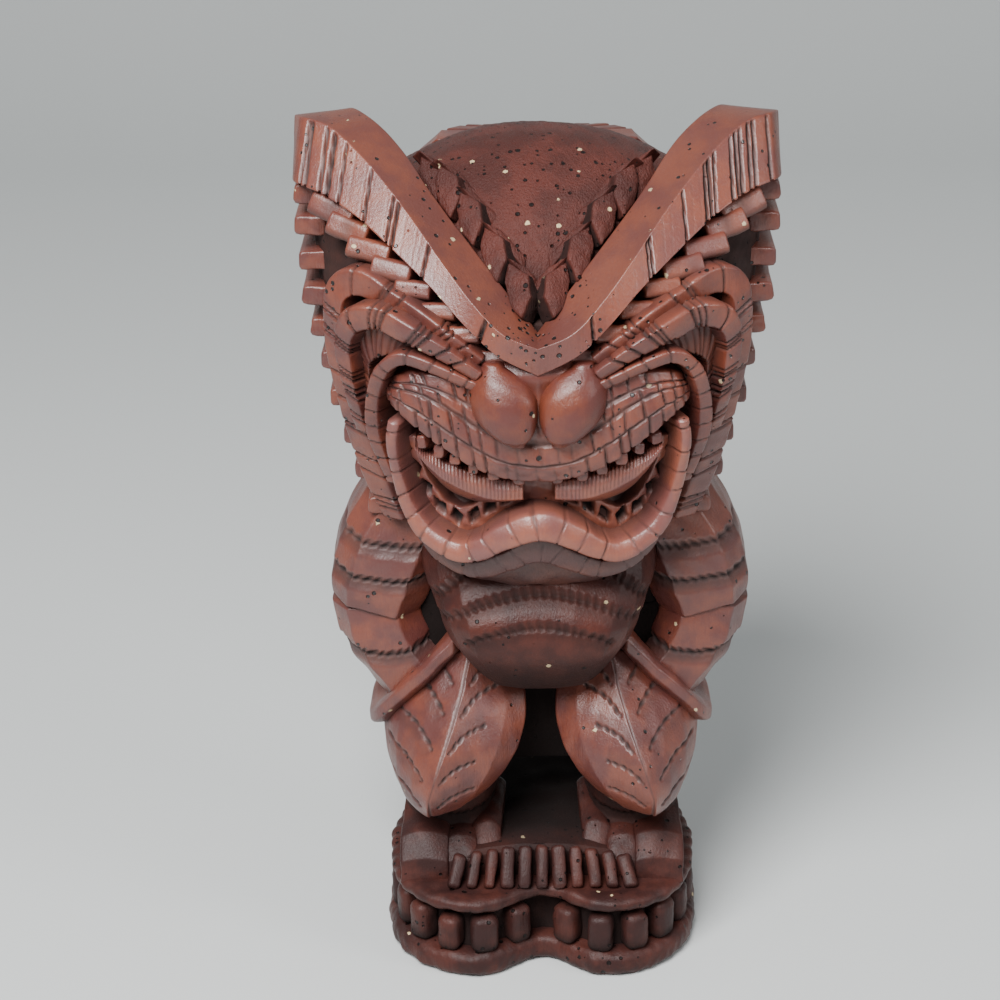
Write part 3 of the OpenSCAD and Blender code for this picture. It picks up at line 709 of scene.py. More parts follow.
class Workshop:
    """Turns skins into pieces that stand for CAD nodes."""

    def __init__(self, figure: Figure) -> None:
        """Takes the places, and starts with no materials."""
        self.figure = figure
        self.materials: dict[str, bpy.types.Material] = {}

    def material(self, finish: Finish) -> bpy.types.Material:
        """The finish's material, made once."""
        if finish.name not in self.materials:
            self.materials[finish.name] = carving_material(finish)
        return self.materials[finish.name]

    def add(self, name: str, skins: Iterable[Skin], place: Place, finish: Finish, slot: str,
            nodes: Sequence[str]) -> bpy.types.Object:
        """Makes one piece from its skins.

        Args:
            name: the piece's name.
            skins: the closed skins it is made of.
            place: where its drawing lies in the frame.
            finish: what it is finished in.
            slot: not used.
            nodes: the CAD nodes it stands for.

        Returns:
            The piece.
        """
        points, shades, pores, quads, fans, first = [], [], [], [], [], 0
        for skin in skins:
            rows, columns = skin.grid.shape[:2]
            index = first + np.arange(rows * columns).reshape(rows, columns)
            on = np.roll(index, -1, 1)
            ends = first + rows * columns
            quad = np.stack([index[:-1], on[:-1], on[1:], index[1:]], -1).reshape(-1, 4)
            fan = np.concatenate([
                np.stack([on[0], index[0], np.full(columns, ends)], -1),
                np.stack([index[-1], on[-1], np.full(columns, ends + 1)], -1),
            ])
            if skin._sign < 0:
                quad, fan = quad[:, ::-1], fan[:, ::-1]
            tips = np.stack([skin.grid[0].mean(0), skin.grid[-1].mean(0)])
            points.append(np.concatenate([skin.grid.reshape(-1, 3), tips]))
            for values, kept in ((skin.shade, shades), (skin.pores, pores)):
                kept.append(np.concatenate([values.ravel(), [values[0].mean(), values[-1].mean()]]))
            quads.append(quad)
            fans.append(fan)
            first = ends + 2
        vertices = place.metres(np.concatenate(points))
        quad, fan = np.concatenate(quads), np.concatenate(fans)
        mesh = bpy.data.meshes.new(name)
        mesh.vertices.add(len(vertices))
        mesh.vertices.foreach_set("co", vertices.ravel())
        corners = np.concatenate([quad.ravel(), fan.ravel()])
        sizes = np.concatenate([np.full(len(quad), 4), np.full(len(fan), 3)])
        mesh.loops.add(len(corners))
        mesh.loops.foreach_set("vertex_index", corners.astype(np.int32))
        mesh.polygons.add(len(sizes))
        mesh.polygons.foreach_set("loop_start", np.concatenate([[0], np.cumsum(sizes)[:-1]]).astype(np.int32))
        mesh.polygons.foreach_set("use_smooth", np.ones(len(sizes), bool))
        mesh.update(calc_edges=True)
        for title, kept in (("shade", shades), ("pores", pores)):
            layer = mesh.attributes.new(title, "FLOAT", "POINT")
            layer.data.foreach_set("value", np.concatenate(kept).astype(np.float32))
        mesh.materials.append(self.material(finish))
        piece = bpy.data.objects.new(name, mesh)
        bpy.context.scene.collection.objects.link(piece)
        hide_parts(*nodes)
        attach(piece, "root")
        log.info("%-20s %7d points, for %s", name, len(vertices), ", ".join(nodes))
        return piece

    def add_pair(self, name: str, skins: Sequence[Skin], place: Place, finish: Finish, slot: str) -> None:
        """Adds skins drawn on the right, and their mirror images, for a pair of nodes.

        Args:
            name: the pieces' name and their nodes' name, without the side.
            skins: the closed skins of the right one.
            place: where their drawing lies in the frame.
            finish: what they are finished in.
            slot: a material slot's name, handed on to add.
        """
        for side in Side:
            sided = [s.mirrored() for s in skins] if side is Side.LEFT else skins
            self.add(f"{name}_{side.node}", sided, place, finish, slot, [f"{name}_{side.node}"])


# ---------------------------------------------------------------- finishes

# Darker than the figure's colours: painted shade for the shade the figure casts on its base and lower legs.
SHADED_BASE_FINISH = Finish("stained base", warm=(0.066, 0.019, 0.014, 1), cool=(0.028, 0.010, 0.009, 1),
                     pale=(0.15, 0.075, 0.065, 1), dust_and_sheen=0.03, streaks=0.10, roughness=0.45, shine=0.22)
BODY_FINISH = Finish("stained body", streaks=0.08, pits=0.07)
# Darker colours: painted shade for the belly, seat and upper back, under the chin and between the legs.
SHADED_BELLY_FINISH = Finish("stained belly", warm=(0.072, 0.019, 0.013, 1), cool=(0.040, 0.012, 0.010, 1),
                      dust_and_sheen=0.0, streaks=0.08, pits=0.05, shine=0.22)
FACE_FINISH = Finish("stained face", warm=(0.165, 0.040, 0.021, 1), cool=(0.090, 0.023, 0.018, 1))
SKIN_FINISH = replace(FACE_FINISH, name="stained nose", warm=(0.150, 0.036, 0.017, 1), dust_and_sheen=0.0, pits=0.08,
                      shine=0.5)
CREST_FINISH = Finish("stained crest", warm=(0.185, 0.048, 0.025, 1), cool=(0.125, 0.034, 0.025, 1),
                      dust_and_sheen=0.02, pits=0.12, specks=0.04)
SKULL_FINISH = Finish("stained skull", warm=(0.088, 0.023, 0.017, 1), cool=(0.052, 0.015, 0.012, 1),
                      dust_and_sheen=0.0, streaks=0.40, pits=0.30, specks=0.06, roughness=0.45, shine=0.22)
# Lighter colours and more dust and sheen than the face: painted highlight on the lip, rolls and gum.
HIGHLIT_MOUTH_FINISH = Finish("highlight_painted mouth", warm=(0.24, 0.070, 0.040, 1), cool=(0.15, 0.048, 0.040, 1),
                      dust_and_sheen=0.22, pits=0.05)
# Dark colours for the head core: painted shade in the mouth and between the face's bands.
SHADED_HOLLOW_FINISH = Finish("deep hollows", warm=(0.085, 0.026, 0.018, 1), cool=(0.048, 0.015, 0.012, 1),
                       dust_and_sheen=0.0, roughness=0.45, shine=0.3)


# ---------------------------------------------------------------- base and legs


@dataclass(frozen=True)
class Base:
    """The lobed base: plinth, waist with pegs, upper band, mound and ribs.

    Its outline is a squarish oval, |x/a|^3 + |y/b|^3 = 1, narrower at the back, with a notch of
    depth e^(-(x/w)^2) in front.
    """

    half_width: float = 33.0
    depth: float = 60.0
    power: float = 3.0
    back_share: float = 0.47
    narrowing: float = 0.14
    notch: float = 8.0
    notch_half: float = 8.6
    waist_cut: float = 4.5
    pegs: int = 30
    peg: tuple[float, float] = (5.5, 5.4)
    ribs: int = 11
    rib_span: float = 35.6
    mound_rise: float = 7.0

    def outline(self, inset: Array | float, count: int = 480) -> Array:
        """The outline drawn in by inset, as (levels, count, 2)."""
        inset = np.atleast_1d(np.asarray(inset, float))[:, None]
        oval = superoval(count, self.power)
        c, s = oval[:, 0], oval[:, 1]
        a = np.linspace(0, 2 * math.pi, count, endpoint=False)
        x = (self.half_width - inset) * c * np.where(s > 0, 1 - self.narrowing * np.sin(a), 1)
        y = s * self.depth * np.where(s < 0, 1 - self.back_share, self.back_share) - inset * np.sin(a)
        y = y + np.where(s < 0, self.notch * np.exp(-((x / self.notch_half) ** 2)), 0)
        return np.stack([x, y], -1)

    def slab(self, levels: Stops, cell: float = 0.6) -> Skin:
        """A slab of the outline through [height, inset] levels."""
        q = respace(spline(np.asarray(levels, float), 12), spline(np.asarray(levels, float), 12), cell)
        flat = self.outline(q[:, 1])
        return Skin(np.concatenate([flat, np.repeat(q[:, :1, None], flat.shape[1], 1)], -1))

    def build(self, shop: Workshop) -> None:
        """Makes the base's pieces."""
        figure = shop.figure
        low = box_mm("base_plinth")[1][2]
        top = box_mm("base_band")[1][2]
        neck = box_mm("base_band")[0][2]

        plinth = self.slab([[0.0, 1.6], [1.2, 0.3], [low * 0.55, 0.1], [low - 1.1, 0.5], [low - 0.1, 1.8],
                            [low + 0.1, 4.6]], 0.5)
        plinth.rough(0.28, 5.0, 11).rough(0.12, 1.4, 12)
        plinth.grid[..., 2] = np.maximum(plinth.grid[..., 2], 0.0)
        shop.add("plinth", [plinth], figure.base, SHADED_BASE_FINISH, "base", ["base_plinth"])

        # Painted shade: the waist is painted dark, for the recess behind the pegs.
        waist = self.slab([[low - 0.5, 4.4], [(low + neck) / 2, 4.9], [neck + 0.5, 4.2]]).darken(0.75)
        shop.add("waist", [waist.rough(0.3, 3.0, 13)], figure.base, SHADED_BASE_FINISH, "base", ["base_waist"])

        shop.add("pegs", self._pegs(low, neck), figure.base, SHADED_BASE_FINISH, "base", ["base_pegs"])

        band = self.slab([[neck, 3.6], [neck + 0.1, 1.8], [neck + 0.9, 0.9], [top - 0.9, 0.8],
                          [top - 0.1, 1.7],
                          [top, 3.4], [top - 0.1, 6.0]], 0.4)
        band.rough(0.22, 4.0, 14)
        shop.add("upper_band", [band], figure.base, SHADED_BASE_FINISH, "base", ["base_band"])

        self._bank(shop, top)

    def _pegs(self, low: float, neck: float) -> list[Skin]:
        """Pegs at even angles round the waist, each a little different."""
        rng = np.random.default_rng(21)
        line = self.outline(self.waist_cut, self.pegs * 8)[0]
        skins = []
        for k in range(self.pegs):
            i = (8 * k + 4) % len(line)
            if abs(line[i][0]) < 2 and line[i][1] < 0:
                continue
            along = unit(line[(i + 1) % len(line)] - line[i - 1])
            out = np.array([along[1], -along[0]])
            axes = np.array([[*along, 0], [*out, 0], [0, 0, 1.0]])
            height = (neck - low) * rng.uniform(0.84, 0.95)
            size = (self.peg[0] * rng.uniform(0.92, 1.06), self.peg[1], height)
            centre = np.array([*(line[i] + out * rng.uniform(0.9, 1.3)), low + height / 2 - 0.2])
            peg = block(size, centre, axes, 3, 1.7)
            # Painted shade: each peg is darker on its inward side and towards its foot.
            peg.darken(np.maximum(0.55 * ramp(-((peg.grid[..., :2] - centre[:2]) @ out), -1.2, 1.2),
                                  0.7 * ramp(centre[2] - peg.grid[..., 2], 0.5, 4.0)))
            skins.append(peg.rough(0.14, 1.8, 30 + k))
        return skins

    def _bank(self, shop: Workshop, top: float) -> None:
        """The arched mound between the feet, and the ribs on its bank."""
        half, front, back = 0.45 * (2 * self.half_width), -18.6, 24.2
        x = np.linspace(-half, half, 150)
        crown = top + self.mound_rise * (1 - (x / half * 0.97) ** 2)
        ring = np.array([[front, -1.2], [back, -1.2], [back - 1, 0.0], [front + 1.2, 0.0], [front, -0.8]])
        rows = []
        for place, level in zip(x, crown):
            rows.append([[place, y, top - 1 if z <= -1.2 else level + z] for y, z in ring])
        mound = loft(np.array(rows)[::6], 0.6, 1)
        limit = (np.abs(mound.grid[..., 0]) / 29.0) ** 3
        rear = back * np.cbrt(np.maximum(1 - limit, 0.05))
        y = mound.grid[..., 1]
        mound.grid[..., 1] = np.where(y > 0, np.minimum(y, rear), y)
        # Painted shade: the mound is darkened 0.35 at its front and 0.95 further back, under the figure.
        mound.rough(0.25, 3.5, 41).darken(0.35 + 0.6 * ramp(mound.grid[..., 1], -17, -8))
        shop.add("mound", [mound], shop.figure.base, SHADED_BASE_FINISH, "base", ["base_mound"])

        rng = np.random.default_rng(43)
        skins = []
        for k in range(self.ribs):
            x0 = (k / (self.ribs - 1) - 0.5) * self.rib_span
            level = top + self.mound_rise * (1 - (x0 / half * 0.97) ** 2) + 0.2
            foot = np.array([x0 * 1.04, -23.6, top + 0.2])
            head = np.array([x0 * 0.96, -18.9, level])
            along = unit(head - foot)
            side = unit(np.cross([0, 1, 0.0], along))
            out = np.cross(along, side)
            size = (2.7 * rng.uniform(0.85, 1.1), 2.6, np.linalg.norm(head - foot) + 0.6)
            rib = block(size, (foot + head) / 2, np.array([side, out, along]), 3, 0.9)
            skins.append(rib.rough(0.16, 1.8, 50 + k))
        shop.add("ribs", skins, shop.figure.base, SHADED_BASE_FINISH, "base", ["base_ribs"])


@dataclass(frozen=True)
class Legs:
    """Feet, shins and leaf-shaped thighs, drawn on the right and mirrored."""

    toes: Stops = ((11.5, -17.5, 5.2, 9.5), (17, -20, 5.8, 8), (24.5, -20.5, 9.2, 9))
    shin: Stops = ((1, 19, 10.5, -13, 12), (8, 19, 10, -12, 13), (16, 19.5, 10, -13, 14),
                   (24, 19.5, 9.5, -13, 14))
    thigh: Stops = (
        (15.5, 25.5, -14, 22.5, -20, 19, -16, -8), (18, 29, -12, 23.3, -25, 13.5, -17, -2),
        (23, 31.8, -9, 23, -27.6, 8.5, -17, 6), (30, 32.8, -6, 20.8, -26, 4.2, -15, 10),
        (37, 32, -3, 18, -21, 3, -12, 12), (43, 28.5, -1, 15.8, -15.5, 4.5, -8, 12),
        (49, 22.5, 0, 14.4, -10.5, 8, -5, 11),
    )
    veins: int = 6

    def _foot(self) -> list[Skin]:
        """The toe blocks: sections lowered by a share 0.9 |q|^3 from middle to edge, q from -0.5 to 0.5."""
        skins = []
        for x, front, width, height in self.toes:
            rings = []
            for q in (-0.5, -0.4, -0.15, 0.15, 0.4, 0.5):
                z = height * (1 - 0.9 * abs(q) ** 3)
                at = x + q * width
                rings.append([[at, front, -1], [at, 2, -1], [at - 1, 2, z + 3], [at, front + 5, z],
                              [at, front + 1, z * 0.5]])
            toe = loft(np.array(rings), 0.4, 3).rounded_ends(0.5)
            skins.append(toe.rough(0.15, 3.0, int(x)))
        return skins

    def _shin(self) -> list[Skin]:
        """A rounded shin with two ragged folds across its front."""
        rings = []
        for up, across, half, front, back in self.shin:
            ring = superoval(16, 2.6) * [half, 1]
            ring[:, 1] *= np.where(ring[:, 1] < 0, -front, back)
            rings.append(np.column_stack([ring[:, 0] + across, ring[:, 1], np.full(16, up)]))
        shin = loft(np.array(rings), 0.45, 0, True)
        at = shin.grid[..., [0, 2]]
        for k, level in enumerate((6.5, 11.5)):
            row = NotchRow(((8, level + 1.5), (19, level - 0.6), (31, level + 2)), 0.8, 1.9, 0.7, 0.6, 0.9)
            shin.carve(row.depths(at, k) * ramp(-shin.grid[..., 1], 0, 4), 0.8)
        return [shin.darken(0.25)]

    def _thigh(self) -> list[Skin]:
        """The thigh as a knee leaf: a midrib with veins that fan out from it on both sides."""
        rings = []
        for up, ox, oy, rx, ry, ix, iy, back in self.thigh:
            o, r, i = np.array([ox, oy]), np.array([rx, ry]), np.array([ix, iy])
            ring = [
                r, (r * 2 + o) / 3 + [0.8, -0.8], (r + o * 2) / 3 + [1, -1], o,
                [ox * 0.97, (oy + back) / 2], [ox * 0.86, back], [(ix + ox) / 2, back + 1],
                [ix + 1, back * 0.8],
                i, (r + i * 2) / 3 + [-0.6, -1], (r * 2 + i) / 3 + [-0.4, -0.6],
            ]
            rings.append(np.column_stack([np.array(ring), np.full(len(ring), up)]))
        thigh = loft(np.array(rings), CELL, 2)
        at = thigh.grid[..., [0, 2]]
        front = ramp(-thigh.outward()[..., 1], 0.05, 0.4)
        ridge = np.array([[22.6, 16.5], [23, 23], [20.8, 30], [18, 37], [15.8, 43], [14.4, 49]])
        aside, _ = from_path(at, ridge)
        cut = 0.3 * np.clip(1 - np.abs(aside) / 0.4, 0, 1)
        for k in range(self.veins):
            share = (k + 0.6) / self.veins
            start = spline(ridge, 20)[int(share * 100)]
            for way in (-1, 1):
                end = start + np.array([way * 9.5, 3.5 + 3.0 * share])
                middle = (start + end) / 2 + [0, 1.2]
                row = NotchRow((tuple(start + [way * 1.6, 0.8]), tuple(middle), tuple(end)), 0.5, 1.7, 0.55,
                               0.5, 0.10)
                cut = np.maximum(cut, row.depths(at, 60 + k + way))
        # The veins are carved and painted dark: painted shade in the grooves.
        thigh.carve(cut * front, 1.5).rough(0.10, 4.0, 61)
        return [thigh]

    def build(self, shop: Workshop) -> None:
        """Makes both legs."""
        for name, skins, finish in (("foot", self._foot(), SHADED_BASE_FINISH), ("shin", self._shin(), SHADED_BASE_FINISH),
                                    ("thigh", self._thigh(), BODY_FINISH)):
            shop.add_pair(name, skins, shop.figure.leg, finish, "legs")


# ---------------------------------------------------------------- trunk and arms


@dataclass(frozen=True)
class Trunk:
    """Seat, belly and upper back."""

    seat: Stops = ((-30, 18, -2, 20), (-22, 27, -4, 26), (-10, 29, -6, 28.5), (0, 28, -8, 27),
                   (8, 27, -8, 25))
    back: Stops = ((4, 26, -8, 25), (14, 28, -8, 25), (24, 30, -8, 26), (34, 31, -8, 27))
    belly: Stops = ((-6, 11, -16), (-4, 13, -19.5), (0, 15.5, -22.8), (5, 18.5, -25.6), (10, 20.5, -27),
                    (13, 21.6, -26.6), (18, 23.8, -23.5), (22, 24.4, -20.5), (28, 23.5, -16))
    courses: tuple[tuple[tuple[float, float], ...], ...] = (
        ((0, 25.5), (8, 24.6), (14, 22.6), (17, 20.4), (20.5, 17.2), (22.5, 15)),
        ((0, 19), (6, 18.3), (12, 16.6), (18, 13.7), (21, 11.5)), ((0, 13.2), (6, 12.3), (12, 10.1), (15, 8)),
    )

    def _stack(self, levels: Stops) -> Skin:
        """A rounded mass of squarish ovals.

        Args:
            levels: [height, half width, front, back] of each oval.

        Returns:
            The skin.
        """
        rings = []
        for up, half, front, back in levels:
            ring = superoval(20, 2.5) * [half, 1]
            ring[:, 1] *= np.where(ring[:, 1] < 0, -front, back)
            rings.append(np.column_stack([ring, np.full(20, up)]))
        return loft(np.array(rings), 0.6, 0, True)

    def _belly(self) -> Skin:
        """The barrel of the belly, with ragged courses sunk into its front."""
        rings = []
        for up, w, f in self.belly:
            ring = [[-0.3 * w, f], [0.3 * w, f], [0.66 * w, f + 1.2], [0.84 * w, f + 4], [0.95 * w, f + 9],
                    [w, f + 16],
                    [w * 0.96, 8], [-w * 0.96, 8], [-w, f + 16], [-0.95 * w, f + 9], [-0.84 * w, f + 4],
                    [-0.66 * w, f + 1.2]]
            rings.append(np.column_stack([np.array(ring), np.full(12, up)]))
        belly = loft(np.array(rings), CELL, 3)
        at = belly.grid[..., [0, 2]]
        front = ramp(-belly.outward()[..., 1], 0.0, 0.3)
        cut = np.zeros(belly.shade.shape)
        for k, right in enumerate(self.courses):
            path = tuple((-x, up) for x, up in right[:0:-1]) + right
            sides = 1 if k else ramp(np.abs(at[..., 0]), 10, 15)
            cut = np.maximum(cut, NotchRow(path, 1.1, 1.8, 0.6, 0.25, 0.3).depths(at, 70 + k) * sides)
        # Painted shade: the belly is painted up to half darker towards its bottom.
        low = 0.5 * ramp(-belly.grid[..., 2], -6, 1)
        return belly.carve(cut * front, 0.8).darken(low).rough(0.12, 4.0, 71)

    def build(self, shop: Workshop) -> None:
        """Makes the trunk's pieces."""
        place = shop.figure.torso
        for name, levels, slot in (("seat", self.seat, "legs"), ("upper_back", self.back, "trunk")):
            skin = self._stack(levels)
            # Painted shade: the seat and upper back are painted darker at their fronts.
            front = ramp(-skin.grid[..., 1], -6, 2)
            skin.darken(front).rough(0.25, 5.0, 73)
            shop.add(name, [skin], place, SHADED_BELLY_FINISH, slot, [name])
        shop.add("belly", [self._belly()], place, SHADED_BELLY_FINISH, "trunk", ["belly"])


@dataclass(frozen=True)
class Arms:
    """Upper arms, forearms and clasped hands, drawn on the right and mirrored."""

    upper: Stops = ((24, 4, 32, 9, 12), (27, 3.4, 27, 10, 13), (30.5, 2.5, 20, 10.5, 13.5),
                    (32.8, 2, 13, 10.2, 13), (34, 2, 8, 9, 12))
    fore: Stops = ((34, 3, 9, 9, 12), (32.8, 2.4, 3, 9, 12.5), (29.6, 2, -3, 8.4, 12.5),
                   (26, 1.4, -9, 7.6, 12), (23.4, 1, -14, 7, 11))
    facets: Stops = ((1, 0.5), (1, -0.42), (0.62, -0.9), (-0.5, -1), (-1, -0.6), (-1, 0.7), (-0.4, 1),
                     (0.6, 0.95))
    rim: Stops = ((18, -13, 1.5), (24, -13.5, -4.5), (30.5, -12, -11), (34.6, -8, -16.5), (36, -1, -19),
                  (35, 8, -17.5), (30, 16, -13))

    def _limb(self, stops: Stops, rows: Sequence[NotchRow], seed: int) -> Skin:
        """A faceted limb carried along a line.

        Args:
            stops: [x, y, z, half width, half depth] along it.
            rows: notches cut across its front.
            seed: sets its small unevenness.

        Returns:
            The skin.
        """
        p = spline(np.array(stops), 4)
        ahead = unit(np.gradient(p[:, [0, 2]], axis=0))
        rings = []
        for (x, y, z, half, deep), (dx, dz) in zip(p, ahead):
            across = np.array([-dz, 0, dx])
            middle = np.array([x, y, z])
            rings.append([middle + across * fx * half + np.array([0, fy * deep, 0])
                          for fx, fy in self.facets])
        limb = loft(np.array(rings), CELL, 3)
        at = limb.grid[..., [0, 2]]
        cut = np.zeros(limb.shade.shape)
        for k, row in enumerate(rows):
            cut = np.maximum(cut, row.depths(at, seed + k))
        limb.carve(cut * ramp(-limb.grid[..., 1], -7, -3), 0.85)
        return limb.rough(0.14, 4.0, seed)

    def _hand(self) -> Skin:
        """The hand: a five-sided rim along a curve, sloping in towards the belly."""
        p = respace(spline(np.array(self.rim)), spline(np.array(self.rim)), CELL)
        inward = np.stack([12 - p[:, 0], 6 - p[:, 1], 0 * p[:, 0]], -1)
        d = unit(inward) * 7
        z = lambda h: np.array([0, 0, h])
        ring = np.stack([p + z(-1.6), p + d + z(-2.6), p + d + z(6), p + d * 0.25 + z(3.4), p + z(1.4)],
                        axis=1)
        share = np.linspace(0, 1, 9)[:-1, None]
        beyond = np.roll(ring, -1, 1)
        full = np.concatenate([ring[:, i, None] * (1 - share) + beyond[:, i, None] * share
                               for i in range(ring.shape[1])], 1)
        hand = Skin(full).soften(3).rounded_ends(0.8)
        return hand.rough(0.12, 3.0, 83)

    def build(self, shop: Workshop) -> None:
        """Makes both arms."""
        upper_rows = (
            NotchRow(((16, 24), (28, 23), (44, 25.5)), 1.0, 1.9, 0.8, 0.8, 0.5),
            NotchRow(((16, 17), (30, 15.5), (46, 17.5)), 1.0, 1.9, 0.8, 0.8, 0.6),
        )
        fore_rows = (NotchRow(((20, 2), (32, -1.5), (44, 0.5)), 1.0, 1.9, 0.8, 0.8, 0.6),)
        for name, skin in (("upper_arm", self._limb(self.upper, upper_rows, 84)),
                           ("forearm", self._limb(self.fore, fore_rows, 88)), ("hand", self._hand())):
            shop.add_pair(name, [skin], shop.figure.torso, BODY_FINISH, "trunk")


# ---------------------------------------------------------------- head


def face_band(stops: Stops, cuts: Sequence[Cuts] = (), root: float = 2.5, crown: float = 0.35,
              corners: int = 3) -> Skin:
    """A band laid on the face.

    Args:
        stops: [across, up, width, proud at the outer edge, proud at the inner edge] along it, where
            across and up are those of the middle of its proud surface.
        cuts: knife cuts across it.
        root: how far it is rooted in the face.
        crown: how much its top swells.
        corners: passes that round its edges.

    Returns:
        The band's skin.
    """
    rows = spline(np.asarray(stops, float))
    rows = respace(rows, FACE.at(rows[:, 0], rows[:, 1], rows[:, 3:].mean(1)), CELL)
    proud = rows[:, 3:].mean(1)
    line, out = FACE.at(rows[:, 0], rows[:, 1], proud), FACE.outward(rows[:, 0], rows[:, 1], proud)
    side = unit(np.cross(unit(np.gradient(line, axis=0)), out))
    half = rows[:, 2] / 2
    tops = max(10, int(rows[:, 2].max() / CELL))
    walls = 7
    climb = np.linspace(0, 1, walls, endpoint=False)
    v = np.concatenate([[-0.8, -0.3, 0.3, 0.8], np.ones(walls), np.linspace(1, -1, tops), -np.ones(walls)])
    share = np.concatenate([np.zeros(4), climb, np.ones(tops), 1 - climb])
    top = rows[:, 4:5] + (rows[:, 3:4] - rows[:, 4:5]) * (v + 1) / 2 + crown * (1 - v**2)
    height = -root + (top + root) * share - proud[:, None]
    grid = line[:, None] + side[:, None] * (v * half[:, None])[..., None] + out[:, None] * height[..., None]
    skin = Skin(grid).soften(corners)
    along = along_of(skin.grid)
    open_air = np.clip(share * 1.4 - 0.2, 0, 1)
    depth = np.zeros(skin.shade.shape)
    for cut in cuts:
        depth = np.maximum(depth, cut.depths(along, v[None]) * open_air)
    skin.carve(depth, 0.95).rough(0.10, 3.0, len(rows))
    # Painted shade: the band's walls darken towards where they meet the face.
    return skin.darken(np.clip(1 - share, 0, 1) * 0.9)


def mirror_stops(stops: Stops) -> Array:
    """Stops from the left end to the right, from those of the right half, the middle one last."""
    half = np.asarray(stops, float)
    left = half.copy()
    left[:, 0] *= -1
    return np.concatenate([left, half[-2::-1]])


@dataclass(frozen=True)
class Mass:
    """The head's mass: core, skull dome and jaw."""

    levels: tuple[float, ...] = (-2, 4, 10, 18, 26, 34, 43, 51, 53.9, 54, 60, 66)
    skull: tuple[float, float, float] = (42, 33, 33)
    skull_seat: tuple[float, float, float] = (0, 3, 47.5)
    jaw: Stops = ((-9, 17, -18, 10), (-4, 23, -26, 14), (0, 25.5, -29, 16), (5, 27, -29.5, 18),
                  (12, 27, -29, 18),
                  (18, 27, -27, 18))

    def _core(self) -> Skin:
        """The core: the bare face at each height, with the crest's valley and the mouth sunk in."""
        rings = []
        for up in self.levels:
            a, b = np.interp(up, FACE.heights, FACE.widths), np.interp(up, FACE.heights, FACE.depths)
            ring = superoval(160, FACE.power) * [a, 1]
            ring[:, 1] *= np.where(ring[:, 1] < 0, b, 33)
            valley = np.interp(up, (53.9, 54, 60, 66), (0, 4, 12, 20))
            ring[:, 1] = np.where(np.abs(ring[:, 0]) < valley, np.maximum(ring[:, 1], -20), ring[:, 1])
            rings.append(np.column_stack([ring, np.full(160, up)]))
        rows = np.array(rings)
        heights = np.array(self.levels)[:, None]
        rows = respace(rows, heights, 0.6)
        core = Skin(rows)
        front = ramp(-core.grid[..., 1], 4, 12)
        up = core.grid[..., 2]
        between = 1 - ramp(np.abs(core.grid[..., 0]), 24, 27)
        mouth = front * between * ramp(up, 9, 13) * (1 - ramp(up, 33, 36))
        core.carve(mouth * 2.2, 0.0)
        # Painted shade: the mouth's hollow is painted dark, and the front seen between the bands unevenly
        # dark.
        wobble = 0.5 + 0.5 * waver(core.grid, 1.6, 90)
        return core.darken(np.maximum(mouth, front * (0.45 + 0.25 * wobble)))

    def _skull(self) -> Skin:
        """The skull: ovals cos a wide at heights sin a, for a from 4 to 88 degrees."""
        rings = []
        for a in np.radians(np.linspace(4, 88, 40)):
            s = math.cos(a)
            ring = superoval(200, 2.2) * [self.skull[0] * s, self.skull[1] * s]
            rings.append(np.column_stack([ring, np.full(200, self.skull[2] * math.sin(a))]) + self.skull_seat)
        skull = loft(np.array(rings), 0.6, 0, False, 6)
        return skull.rough(0.22, 6.0, 91).rough(0.08, 1.6, 92)

    def _jaw(self) -> Skin:
        """The jaw: squarish ovals, flatter behind than in front."""
        rings = []
        for up, half, front, back in self.jaw:
            ring = superoval(24, 2.4) * [half, 1]
            ring[:, 1] *= np.where(ring[:, 1] < 0, -front, back)
            rings.append(np.column_stack([ring, np.full(24, up)]))
        return loft(np.array(rings), 0.5, 0, True).darken(0.35).rough(0.15, 3.0, 93)

    def build(self, shop: Workshop) -> None:
        """Makes the three pieces."""
        place = shop.figure.head
        shop.add("head_core", [self._core()], place, SHADED_HOLLOW_FINISH, "face", ["head_core"])
        shop.add("skull", [self._skull()], place, SKULL_FINISH, "skull", ["skull"])
        shop.add("jaw", [self._jaw()], place, BODY_FINISH, "face", ["jaw"])


